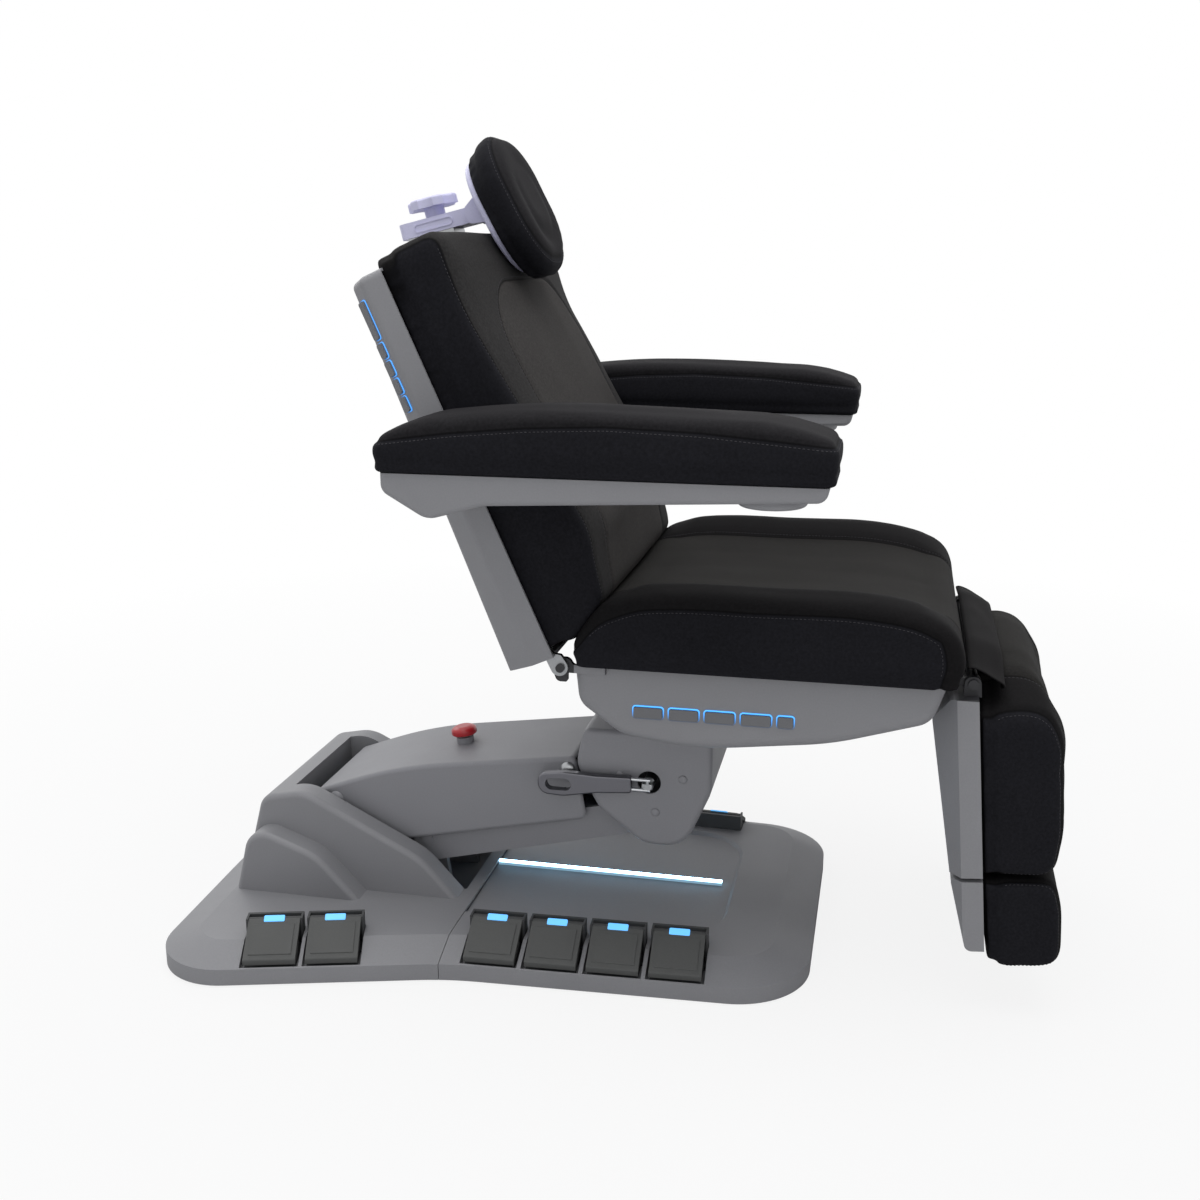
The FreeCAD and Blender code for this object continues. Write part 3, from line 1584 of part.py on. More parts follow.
def main():
    os.makedirs("parts", exist_ok=True)
    rear, front = base_covers()
    save("base_frame", base_frame())
    save("rear_base_cover", rear)
    save("front_base_cover", front)
    save("light_bar", light_bar())
    save("rear_pins", rear_pins())
    save("pedal_bases", pedal_bases())
    for number, place in enumerate(pedal_rows(), 1):
        near, far = on_both_sides(set_on_edge(pedal(), place))
        save(f"pedal_right_{number}", near)
        save(f"pedal_left_{number}", far)
    save("lift_arm", lift_arm())
    save("arm_cover", arm_cover())
    save("stop_button", stop_button())
    save("lower_link", lower_link())
    save("lift_actuator", lift_actuator())
    save("lift_rod", lift_rod())
    save("head_frame", head_frame())
    save("head_cover", head_cover())
    save("head_pins", head_pins())
    save("lever_fork", lever_fork(0))
    save("lever_grip", lever_grip())
    save("turntable", turntable())
    save("seat_frame", seat_frame())
    save("seat_pan", seat_pan())
    save("seat_cushion", crowned_pad(seat_profile, seat_half, 14, seat_crown))
    save("seat_drives", seat_drives())
    for number in range(key_count):
        save(f"seat_key_{number + 1}", seat_key(number))
        save(f"back_key_{number + 1}", back_key(number))
    save("back_frame", back_frame())
    save("back_shell", back_shell())
    save("back_cushion", set_back(crowned_pad(back_profile, back_half, 14, back_crown)))
    save("headrest_bar", headrest_bar())
    save("headrest_knob", headrest_knob())
    save("headrest_plate", headrest_plate())
    save("headrest_cushion", headrest_cushion())
    save("arm_shell_right", arm_shell())
    save("arm_shell_left", mirrored(arm_shell()))
    save("arm_pad_right", arm_pad())
    save("arm_pad_left", mirrored(arm_pad()))
    save("leg_shell", leg_shell())
    save("leg_cushion", set_leg(crowned_pad(leg_profile, leg_half, 12, leg_crown)))
    save("foot_shell", foot_shell())
    save("foot_cushion", set_leg(crowned_pad(foot_profile, leg_half, 10, 6)))
    save("knee_flap", knee_flap())


if __name__ == "__main__":
    main()
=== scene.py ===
import bmesh
import bpy
import math
import numpy as np
from mathutils import Matrix, Vector, noise


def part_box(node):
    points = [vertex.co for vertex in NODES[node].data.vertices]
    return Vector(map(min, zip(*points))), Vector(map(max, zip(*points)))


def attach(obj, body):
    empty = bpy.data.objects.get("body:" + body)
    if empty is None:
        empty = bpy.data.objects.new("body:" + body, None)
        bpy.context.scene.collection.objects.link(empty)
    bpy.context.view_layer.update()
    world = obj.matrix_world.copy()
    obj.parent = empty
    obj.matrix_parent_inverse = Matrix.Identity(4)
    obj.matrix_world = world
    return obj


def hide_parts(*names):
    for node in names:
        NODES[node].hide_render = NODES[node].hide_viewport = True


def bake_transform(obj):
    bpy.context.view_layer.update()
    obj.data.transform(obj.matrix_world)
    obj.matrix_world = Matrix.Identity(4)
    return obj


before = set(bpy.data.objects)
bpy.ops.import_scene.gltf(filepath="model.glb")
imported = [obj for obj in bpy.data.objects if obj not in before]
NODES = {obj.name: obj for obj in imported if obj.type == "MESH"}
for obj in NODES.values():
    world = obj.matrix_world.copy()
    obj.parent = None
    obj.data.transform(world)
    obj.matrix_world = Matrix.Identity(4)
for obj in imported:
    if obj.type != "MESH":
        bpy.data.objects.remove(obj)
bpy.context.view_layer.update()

bl_info = {
    "name": "Power procedure table",
    "version": (1, 0, 0),
    "blender": (4, 5, 0),
    "location": "View3D > Sidebar > Table",
    "description": "Dresses the powered treatment table with upholstery, finishes, lit keys and a studio",
    "category": "Object",
}


def srgb(red, green, blue):
    """A colour as a screen shows it, turned into the linear colour that materials hold."""
    linear = []
    for part in (red, green, blue):
        share = part / 255
        linear.append(share / 12.92 if share <= 0.04045 else ((share + 0.055) / 1.055) ** 2.4)
    return tuple(linear) + (1.0,)


def colour(label, words, red, green, blue):
    return bpy.props.FloatVectorProperty(
        name=label, description=words, subtype="COLOR", size=4, min=0, max=1, default=srgb(red, green, blue)
    )


def length(label, words, millimetres):
    return bpy.props.FloatProperty(name=label, description=words, unit="LENGTH", default=millimetres / 1000)


class TableColours(bpy.types.PropertyGroup):
    """Colours of the table's finishes."""

    shell: colour("Shells", "Grey moulded shells and base covers", 141, 141, 144)
    lift_shell: colour("Lift covers", "Moulded covers of the lift", 143, 143, 147)
    pale_shell: colour("Headrest mount", "Pale moulding of the headrest's plate, bar and knob", 208, 207, 234)
    pedal: colour("Pedals", "Foot pedals", 79, 80, 79)
    pedal_block: colour("Pedal blocks", "Switch blocks under the pedals", 62, 63, 64)
    key: colour("Keys", "Press keys", 112, 113, 116)
    border: colour("Upholstery sides", "Near-black sides of the cushions", 31, 31, 35)
    # The seat's bands and panel, which the legrest shares, are set darker than the back's bands and panel:
    # the cloth's own colours with painted shade from the armrests, the back and the headrest over the seat
    band: colour("Upholstery bands", "Bands beside the panels of the seat and the legrest", 25, 24, 25)
    pad: colour("Pads", "Tops of the arm pads and the front of the head pad", 37, 36, 38)
    panel: colour("Upholstery panels", "Charcoal middle panels of the seat and the legrest", 39, 38, 37)
    back_band: colour("Back bands", "Bands round the panel of the back", 51, 50, 50)
    back_panel: colour("Back panel", "Charcoal arched panel of the back", 61, 59, 58)
    thread: colour("Thread", "Stitching", 76, 75, 78)
    stop: colour("Stop button", "Red head of the stop button", 186, 22, 34)
    collar: colour("Stop collar", "Pale collar under the stop button", 188, 188, 186)
    steel: colour("Steel", "Painted steel frame", 42, 42, 45)
    # Pale grey as painted light: it lightens the shaded hollow inside the base, where the frame would
    # otherwise show black
    base_frame_lightened: colour("Base frame", "Painted frame inside the base", 112, 112, 115)
    zinc: colour("Plated steel", "Plated lugs, pins and plates", 168, 170, 172)
    chrome: colour("Bright steel", "Polished fork of the lever", 205, 207, 210)
    grip: colour("Lever grip", "Grip of the brake lever", 112, 112, 117)
    glow: colour("Key light", "Light round the keys", 50, 150, 240)
    label: colour("Pedal light", "Lit label pads of the pedals", 96, 172, 232)
    lamp: colour("Light bar", "Light bar in the base", 168, 222, 255)


class TableSizes(bpy.types.PropertyGroup):
    """Sizes of the upholstery and the small fittings."""

    voxel: length("Skin mesh", "Mesh size of the upholstery skins", 6)
    tuck: length("Tuck", "How far a skin is drawn in before it is filled", 5)
    seam_depth: length("Seam depth", "Depth of a sewn seam", 2.4)
    seam_width: length("Seam width", "Half width of a sewn seam's groove", 4.5)
    stitch: length("Stitch", "Length of one stitch", 3.4)
    stitch_pitch: length("Stitch pitch", "Distance from one stitch to the next", 5.2)
    thread_radius: length("Thread", "Half thickness of the thread", 0.45)
    stitch_offset: length("Stitch offset", "Distance of the stitching from its seam", 4.5)
    meet: length("Crease", "How far the seat and the back bulge towards each other", 6)
    seat_panel: length("Seat panel", "Half width of the seat's middle panel", 188)
    seat_edge: length("Seat edge", "Half width of the seat's top", 270)
    seat_seam_drop: length("Seat edge seam", "Depth of the seat's edge seam below the rim of its side", 24)
    seat_dish: length("Seat dish", "How far the middle panel of the seat is drawn down", 6)
    seat_roll: length("Seat roll", "How far the padded sides of the seat rise", 10)
    back_panel: length("Back panel", "Half width of the back's arched panel", 202)
    back_panel_top: length("Back panel top", "Height of the arch above the back's hinge", 512)
    back_panel_round: length("Back panel round", "Rounding of the arch", 110)
    back_edge: length("Back edge seam", "Half width between the back's edge seams", 262)
    back_rise: length("Back top", "How far the filling lifts the top of the back", 5)
    leg_panel: length("Leg panel", "Half width of the leg's middle panel", 167)
    leg_edge: length("Leg edge seam", "Half width between the leg's edge seams", 231)
    foot_drop: length("Foot cushion", "How far the foot cushion hangs below its shell", 8)
    head_square: bpy.props.FloatProperty(
        name="Head pad corner", description="How square the head pad's front corner is", default=0.16
    )
    cap_radius: length("Screw cap", "Radius of a screw cap", 6.5)
    cap_height: length("Screw cap height", "Height of a screw cap", 2.6)


def colours():
    return bpy.context.scene.table_colours


def sizes():
    return bpy.context.scene.table_sizes


# Node groups and materials


def feed(tree, sockets, values):
    """Fills sockets with values, or links them where a socket is given."""
    for key, value in values.items():
        if isinstance(value, bpy.types.NodeSocket):
            tree.links.new(value, sockets[key])
        else:
            sockets[key].default_value = value


def add(tree, kind, inputs=None, **settings):
    """A node with its settings, its sockets filled or linked."""
    node = tree.nodes.new(kind)
    for key, value in settings.items():
        setattr(node, key, value)
    feed(tree, node.inputs, inputs or {})
    return node


def new_group(name, defaults):
    """A node group with the given inputs. It gives a colour, a roughness and a height."""
    tree = bpy.data.node_groups.new(name, "ShaderNodeTree")
    kinds = {"Colour": "NodeSocketColor"}
    for label, default in defaults.items():
        kind = kinds.get(label, "NodeSocketFloat")
        tree.interface.new_socket(label, in_out="INPUT", socket_type=kind).default_value = default
    for label in ("Colour", "Roughness", "Height"):
        tree.interface.new_socket(label, in_out="OUTPUT", socket_type=kinds.get(label, "NodeSocketFloat"))
    return tree, tree.nodes.new("NodeGroupInput").outputs, tree.nodes.new("NodeGroupOutput").inputs


def own_place(tree):
    return add(tree, "ShaderNodeTexCoord").outputs["Object"]


def math_node(tree, operation, first, second=0.0, third=None, clamp=False):
    inputs = {0: first, 1: second}
    if third is not None:
        inputs[2] = third
    return add(tree, "ShaderNodeMath", inputs, operation=operation, use_clamp=clamp).outputs[0]


def noise_at(tree, scale, detail):
    """Noise over the object's own coordinates, scale in repeats per metre."""
    inputs = {"Vector": own_place(tree), "Scale": scale, "Detail": detail}
    return add(tree, "ShaderNodeTexNoise", inputs).outputs["Fac"]


def uneven(tree, scale, detail):
    """The same noise about zero."""
    return math_node(tree, "SUBTRACT", noise_at(tree, scale, detail), 0.5)


def ramp(tree, value, low, high, start=0.0, end=1.0):
    """Goes from start to end while a value goes from low to high."""
    inputs = {"Value": value, "From Min": low, "From Max": high, "To Min": start, "To Max": end}
    return add(tree, "ShaderNodeMapRange", inputs).outputs[0]


def mix_colour(tree, first, second, factor, blend="MIX"):
    """Mixes two colours. The node's sockets share their names, so they are filled by their places."""
    inputs = {0: factor, 6: first, 7: second}
    return add(tree, "ShaderNodeMix", inputs, data_type="RGBA", blend_type=blend).outputs[2]


def shaded(tree, tint, value):
    """A colour made lighter or darker by a grey value."""
    grey = add(tree, "ShaderNodeCombineColor", {0: value, 1: value, 2: value}).outputs[0]
    return mix_colour(tree, tint, grey, 1.0, "MULTIPLY")


def grain_group():
    """Moulded plastic: slow mottling, rubbed patches and a fine pebbled grain."""
    defaults = {"Colour": (0.5, 0.5, 0.5, 1), "Mottle": 0.12, "Rub": 0.12, "Roughness": 0.5}
    tree, given, out = new_group("moulded grain", defaults)
    change = math_node(tree, "MULTIPLY_ADD", uneven(tree, 7.0, 4.0), given["Mottle"], 1.0)
    change = math_node(tree, "MULTIPLY_ADD", uneven(tree, 420.0, 1.0), given["Mottle"], change)
    tint = shaded(tree, given["Colour"], change)
    patches = uneven(tree, 26.0, 5.0)
    rubbed = math_node(tree, "MULTIPLY_ADD", patches, given["Rub"], given["Roughness"], clamp=True)
    feed(tree, out, {"Colour": tint, "Roughness": rubbed, "Height": noise_at(tree, 1100.0, 2.0)})
    return tree


def weave_group():
    """Upholstery cloth: fine crossing yarns, yarn to yarn colour change and slow fading."""
    defaults = {"Colour": (0.05, 0.05, 0.05, 1), "Yarns": 620.0, "Fade": 0.3}
    tree, given, out = new_group("fine weave", defaults)
    inputs = {"Vector": own_place(tree), "Scale": given["Yarns"], "Randomness": 0.55}
    yarns = add(tree, "ShaderNodeTexVoronoi", inputs, distance="CHEBYCHEV").outputs["Distance"]
    tone = uneven(tree, 270.0, 2.0)
    change = math_node(tree, "MULTIPLY_ADD", uneven(tree, 9.0, 3.0), given["Fade"], 1.0)
    change = math_node(tree, "ADD", tone, change)
    change = math_node(tree, "SUBTRACT", change, math_node(tree, "MULTIPLY", yarns, 0.22))
    tint = shaded(tree, given["Colour"], change)
    rough = math_node(tree, "MULTIPLY_ADD", tone, 0.2, 0.78, clamp=True)
    feed(tree, out, {"Colour": tint, "Roughness": rough, "Height": math_node(tree, "SUBTRACT", 1.0, yarns)})
    return tree


def group(name):
    """A shared node group, built the first time it is asked for."""
    makers = {"moulded grain": grain_group, "fine weave": weave_group}
    return bpy.data.node_groups.get(name) or makers[name]()


def new_material(name):
    material = bpy.data.materials.new(name)
    material.use_nodes = True
    tree = material.node_tree
    return material, tree, tree.nodes["Principled BSDF"]


def dress(tree, shader, kind, given, depth):
    """Links a shared group's colour, roughness and height into a shader."""
    made = add(tree, "ShaderNodeGroup", given, node_tree=group(kind)).outputs
    relief = {"Height": made["Height"], "Distance": depth, "Strength": 0.6}
    bump = add(tree, "ShaderNodeBump", relief).outputs[0]
    feed(tree, shader.inputs, {"Base Color": made["Colour"], "Roughness": made["Roughness"], "Normal": bump})


def moulded(name, tint, roughness=0.5, mottle=0.12, depth=0.00012):
    material, tree, shader = new_material(name)
    given = {"Colour": tint, "Mottle": mottle, "Roughness": roughness}
    dress(tree, shader, "moulded grain", given, depth)
    return material


def metal(name, tint, roughness, mottle=0.2):
    material = moulded(name, tint, roughness, mottle, 0.00003)
    material.node_tree.nodes["Principled BSDF"].inputs["Metallic"].default_value = 1.0
    return material


def two_tone(name, below, above, split, roughness, coat=0.0, middle=None):
    """A moulding with one colour below a height, or near a middle place along X, and another beyond it."""
    material, tree, shader = new_material(name)
    places = add(tree, "ShaderNodeSeparateXYZ", {0: own_place(tree)}).outputs
    reach = places["Z"]
    if middle is not None:
        reach = math_node(tree, "ABSOLUTE", math_node(tree, "SUBTRACT", places["X"], middle))
    tint = mix_colour(tree, below, above, ramp(tree, reach, split - 0.0005, split + 0.0005))
    dress(tree, shader, "moulded grain", {"Colour": tint, "Roughness": roughness}, 0.0001)
    shader.inputs["Coat Weight"].default_value = coat
    return material


def lit(name, tint, strength, along=None, low=0.0, high=0.0):
    """A lit diffuser. With a direction its light grows along it, from a low place to a high one."""
    material, tree, shader = new_material(name)
    base = tint
    light = math_node(tree, "MULTIPLY_ADD", uneven(tree, 60.0, 2.0), 0.25, 1.0)
    if along is not None:
        base = colours().key[:]
        inputs = {0: own_place(tree), 1: tuple(along)}
        reach = add(tree, "ShaderNodeVectorMath", inputs, operation="DOT_PRODUCT").outputs["Value"]
        light = math_node(tree, "MULTIPLY", light, ramp(tree, reach, low, high, 0.03))
    emission = {"Emission Color": shaded(tree, tint, light), "Emission Strength": strength}
    feed(tree, shader.inputs, {"Base Color": base, "Roughness": 0.45, **emission})
    return material


SEAMS = ("panel_seam", "edge_seam")
CLOTH_SHINE = 0.07


def cloth_material(name, depth, tint_of):
    """Woven cloth in the tint that tint_of builds in the material's tree."""
    material, tree, shader = new_material(name)
    dress(tree, shader, "fine weave", {"Colour": tint_of(tree)}, depth)
    shader.inputs["Specular IOR Level"].default_value = CLOTH_SHINE
    return material


def plain_cloth(name, tint):
    return cloth_material(name, 0.0002, lambda tree: tint)


def upholstery(name, band, middle):
    """Panelled cloth: the mesh carries each point's distance to the panel seam and to the edge seam. The
    cloth is darkened along each seam as painted shade in its groove.
    """

    def panels(tree):
        inside, near = [], []
        for seam in SEAMS:
            distance = add(tree, "ShaderNodeAttribute", attribute_name=seam).outputs["Fac"]
            inside.append(ramp(tree, distance, -0.0006, 0.0006))
            # Darker towards each seam, down to 0.35 at the seam: painted shade in the seam's groove
            near.append(ramp(tree, math_node(tree, "ABSOLUTE", distance), 0.0004, 0.0022, 0.35))
        tone = mix_colour(tree, colours().border[:], band, inside[1])
        tone = mix_colour(tree, tone, middle, math_node(tree, "MULTIPLY", *inside))
        return shaded(tree, tone, math_node(tree, "MULTIPLY", *near))

    return bpy.data.materials.get(name) or cloth_material(name, 0.00025, panels)


# Darker than the back's cloth: painted shade over the seat, which the legrest shares
def seat_cloth():
    return upholstery("upholstery", colours().band[:], colours().panel[:])


def pad_cloth():
    return upholstery("pad upholstery", colours().pad[:], colours().panel[:])


def paint(material, *names):
    """Gives rigid nodes of the frame their finish."""
    for name in names:
        node = NODES[name]
        if not node.material_slots:
            node.data.materials.append(material)
        for place in node.material_slots:
            place.material = material


# Mesh work


def new_object(name, data):
    made = bpy.data.objects.new(name, data)
    bpy.context.scene.collection.objects.link(made)
    return made


def new_mesh(name, corners, faces, turn_out=False):
    """A mesh from corners and faces, with the faces turned outward where that is asked for."""
    mesh = bpy.data.meshes.new(name)
    mesh.from_pydata([tuple(corner) for corner in corners], [], faces)
    if turn_out:
        shape = bmesh.new()
        shape.from_mesh(mesh)
        bmesh.ops.recalc_face_normals(shape, faces=shape.faces)
        shape.to_mesh(mesh)
        shape.free()
    return mesh


def band_faces(here, there, count):
    """Faces between two rings of corners."""
    return [(here + k, here + (k + 1) % count, there + (k + 1) % count, there + k) for k in range(count)]


def tube_faces(first, rings, count):
    """Faces of a closed tube whose rings of corners follow one another."""
    last = first + (rings - 1) * count
    faces = [tuple(reversed(range(first, first + count))), tuple(range(last, last + count))]
    for here in range(first, last, count):
        faces += band_faces(here, here + count, count)
    return faces


def rounded_loop(wide, tall, steps):
    """The corners of an oblong with the directions round each of them, as (a, b, cosine, sine)."""
    loop = []
    for quarter, (a, b) in enumerate(((wide, tall), (-wide, tall), (-wide, -tall), (wide, -tall))):
        for step in range(steps + 1):
            angle = math.pi / 2 * (quarter + step / steps)
            loop.append((a, b, math.cos(angle), math.sin(angle)))
    return loop


def fitted(mesh, material, body):
    """A small piece in its finish that rides on a body."""
    mesh.materials.append(material)
    made = new_object(mesh.name, mesh)
    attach(made, body)


def applied(obj):
    """Makes an object's modifiers part of its mesh."""
    graph = bpy.context.evaluated_depsgraph_get()
    mesh = bpy.data.meshes.new_from_object(obj.evaluated_get(graph))
    old = obj.data
    obj.modifiers.clear()
    obj.data = mesh
    bpy.data.meshes.remove(old)
    return obj


def points_of(mesh):
    values = np.empty(len(mesh.vertices) * 3)
    mesh.vertices.foreach_get("co", values)
    return values.reshape(-1, 3)


def normals_of(mesh):
    values = np.empty(len(mesh.vertices) * 3, np.float32)
    mesh.vertex_normals.foreach_get("vector", values)
    return values.reshape(-1, 3).astype(float)


def move_points(mesh, points):
    mesh.vertices.foreach_set("co", points.astype(np.float32).ravel())
    mesh.update()


def smooth_step(value, low, high):
    share = np.clip((value - low) / (high - low), 0, 1)
    return share * share * (3 - 2 * share)


def around(mesh):
    """A function that gives each point the mean of a value over its neighbours."""
    links = np.empty(len(mesh.edges) * 2, np.int32)
    mesh.edges.foreach_get("vertices", links)
    first, second = links.reshape(-1, 2).T
    count = np.bincount(links, minlength=len(mesh.vertices))

    def mean(values):
        size = len(values)
        return (np.bincount(first, values[second], size) + np.bincount(second, values[first], size)) / count

    return mean


def relax(mesh, free, passes):
    """Evens out the corners of a skin without shrinking it."""
    mean = around(mesh)
    points = points_of(mesh)
    for factor in (0.6, -0.61) * passes:
        for axis in range(3):
            points[:, axis] += factor * free * (mean(points[:, axis]) - points[:, axis])
    move_points(mesh, points)


def skin_of(node, name, place, board, reach):
    """A skin round a soft solid, drawn in a little where it is free, ready to be filled.

    Points behind the board of a part's frame lie on it; they are set down on it by reach.
    """
    obj = new_object(name, NODES[node].data.copy())
    obj.data.materials.clear()
    wrap = obj.modifiers.new("skin", "REMESH")
    wrap.mode = "VOXEL"
    wrap.voxel_size = sizes().voxel
    applied(obj)
    held = (measured(points_of(obj.data), place)[0] < board).astype(float)
    relax(obj.data, 1 - held, 60)
    points = points_of(obj.data) - normals_of(obj.data) * sizes().tuck * (1 - held[:, None])
    move_points(obj.data, points - place[0] * reach * held[:, None])
    return obj, held


FILL_FRAMES = 20


def pressed(obj, held):
    """Where a skin's points come to under pressure, by a cloth simulation with the held points pinned."""
    pinned = obj.vertex_groups.new(name="held")
    pinned.add(np.flatnonzero(held > 0.5).tolist(), 1.0, "REPLACE")
    cloth = obj.modifiers.new("fill", "CLOTH")
    settings = {"quality": 4, "use_pressure": True, "uniform_pressure_force": 4, "vertex_group_mass": "held"}
    stiffness = {"tension_stiffness": 12, "compression_stiffness": 12, "bending_stiffness": 0.6}
    for key, value in {**settings, **stiffness}.items():
        setattr(cloth.settings, key, value)
    cloth.settings.effector_weights.gravity = 0
    cloth.collision_settings.use_collision = False
    cloth.point_cache.frame_start = 1
    cloth.point_cache.frame_end = FILL_FRAMES
    scene = bpy.context.scene
    for step in range(1, FILL_FRAMES + 1):
        scene.frame_set(step)
    graph = bpy.context.evaluated_depsgraph_get()
    filled = points_of(obj.evaluated_get(graph).data)
    scene.frame_set(1)
    obj.modifiers.clear()
    obj.vertex_groups.clear()
    return filled


def fill(obj, held, cap):
    """Fills a skin by pressure. held says which points stay on their board, cap how far a point may go.

    The filling carries each free point at least back to where the skin was before it was drawn in.
    """
    start = points_of(obj.data)
    out = normals_of(obj.data)
    tuck = sizes().tuck
    swell = np.full(len(start), 1.2 * tuck)
    swell = ((pressed(obj, held) - start) * out).sum(axis=1)
    swell = np.clip(swell, tuck, cap) * (1 - held)
    mean = around(obj.data)
    for _ in range(12):
        swell = np.where(held > 0.5, 0, (swell + mean(swell)) / 2)
    move_points(obj.data, start + out * swell[:, None])
    obj.modifiers.new("finer", "SUBSURF").levels = 1
    applied(obj)
    relax(obj.data, 1.0, 8)
    return obj


def padding(node, name, place, board, reach, cap):
    """A cushion's skin, drawn in and filled again."""
    obj, held = skin_of(node, name, place, board, reach)
    return fill(obj, held, cap)


def sew(obj, panel, edge, cloth):
    """Draws the seams in, keeps each point's distance to them and dresses the skin in a cloth."""
    mesh = obj.data
    s = sizes()
    points = points_of(mesh)
    normals = normals_of(mesh)
    for label, values in zip(SEAMS, (panel, edge)):
        mesh.attributes.new(label, "FLOAT", "POINT").data.foreach_set("value", values.astype(np.float32))
        groove = s.seam_depth * np.exp(-((values / s.seam_width) ** 2))
        points = points - normals * groove[:, None]
    move_points(mesh, points)
    mesh.shade_smooth()
    mesh.materials.append(cloth)


# A distance well outside any panel
NO_PANEL = -0.05


def sew_edge(obj, edge, cloth):
    """Sews a skin that has an edge seam only."""
    sew(obj, np.full(len(edge), NO_PANEL), edge, cloth)


def contours(mesh, values, level):
    """The lines on a mesh where a value crosses a level, as lists of (point, normal)."""
    points = points_of(mesh)
    normals = normals_of(mesh)
    links = {}
    above = values > level
    for face in mesh.polygons:
        corners = list(face.vertices)
        flags = above[corners]
        if flags.all() or not flags.any():
            continue
        cuts = []
        for index, corner in enumerate(corners):
            other = corners[index - 1]
            if above[corner] != above[other]:
                cuts.append((min(corner, other), max(corner, other)))
        if len(cuts) == 2:
            links.setdefault(cuts[0], []).append(cuts[1])
            links.setdefault(cuts[1], []).append(cuts[0])
    lines = []
    seen = set()
    ends = [key for key, near in links.items() if len(near) == 1]
    for start in ends + list(links):
        if start in seen:
            continue
        chain = [start]
        seen.add(start)
        while True:
            following = [key for key in links[chain[-1]] if key not in seen]
            if not following:
                break
            chain.append(following[0])
            seen.add(following[0])
        line = []
        for first, second in chain:
            span = values[second] - values[first]
            share = (level - values[first]) / span if abs(span) > 1e-12 else 0.5
            line.append(
                (points[first] + (points[second] - points[first]) * share, normals[first] + normals[second])
            )
        lines.append(line)
    return lines


def run_along(places):
    """Distances along a line of places."""
    return np.concatenate([[0], np.cumsum(np.linalg.norm(np.diff(places, axis=0), axis=1))])


def on_line(at, run, values):
    """What a line's values come to at a distance along it."""
    return np.array([np.interp(at, run, column) for column in values.T])


# Rings of one stitch: share of its length, share of the thread's radius, lift in radii
STITCH_RINGS = ((0, 0.35, -0.5), (0.2, 0.9, 0.35), (0.5, 1, 0.7), (0.8, 0.9, 0.35), (1, 0.35, -0.5))
THREAD_SIDES = 5


def stitch_lines(name, obj, values, body, keep=None, offset=1.0):
    """Thread laid stitch by stitch outside a seam, where keep allows it."""
    s = sizes()
    radius = s.thread_radius
    corners, faces = [], []
    for line in contours(obj.data, values, -offset * s.stitch_offset):
        if len(line) < 6:
            continue
        places, across = (np.array(column) for column in zip(*line))
        for _ in range(6):
            places[1:-1] = (places[:-2] + 2 * places[1:-1] + places[2:]) / 4
        run = run_along(places)
        for begin in np.arange(s.stitch_pitch, run[-1] - s.stitch_pitch, s.stitch_pitch):
            start = on_line(begin, run, places)
            if keep and not keep(start):
                continue
            span = on_line(begin + s.stitch, run, places) - start
            up = on_line(begin, run, across)
            up /= np.linalg.norm(up)
            side = np.cross(span / np.linalg.norm(span), up)
            faces += tube_faces(len(corners), len(STITCH_RINGS), THREAD_SIDES)
            for share, size, lift in STITCH_RINGS:
                middle = start + span * share + up * (lift * radius)
                for turn in range(THREAD_SIDES):
                    angle = math.tau * turn / THREAD_SIDES
                    corners.append(middle + (up * math.sin(angle) + side * math.cos(angle)) * (radius * size))
    if not corners:
        raise RuntimeError(name + " has no stitches")
    mesh = new_mesh(name, corners, faces)
    mesh.shade_smooth()
    thread = bpy.data.materials.get("thread") or plain_cloth("thread", colours().thread[:])
    fitted(mesh, thread, body)


def cushion(obj, node, body):
    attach(obj, body)
    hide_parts(node)


def lean_frame(lean, x, z):
    """Ahead and up directions of a leaning part, and its hinge."""
    angle = math.radians(lean)
    return (
        np.array([math.cos(angle), 0, math.sin(angle)]),
        np.array([-math.sin(angle), 0, math.cos(angle)]),
        np.array([x, 0, z]),
    )


FLAT = (np.array([0, 0, 1]), np.array([1, 0, 0]), np.zeros(3))
BACK = lean_frame(24, -0.095, 0.477)
LEG = lean_frame(4.9, 0.450, 0.474)
HEAD = lean_frame(28, -0.28031, 1.07691)


def measured(points, place):
    """Each point's distance ahead and up in a leaning part."""
    ahead, up, hinge = place
    return (points - hinge) @ ahead, (points - hinge) @ up


def soft_waves(points, size, reach):
    """Slow unevenness of padded cloth."""
    return np.array([noise.noise(Vector(p) / size) for p in points]) * reach


def push(points, reach, way):
    """Moves each point by its own reach along a way."""
    points += reach[:, None] * way


def diagonal(rise, run):
    """One where a point lies midway between two directions of a corner, zero along either of them."""
    return np.sin(2 * np.arctan2(rise, run)) ** 2


# Operators


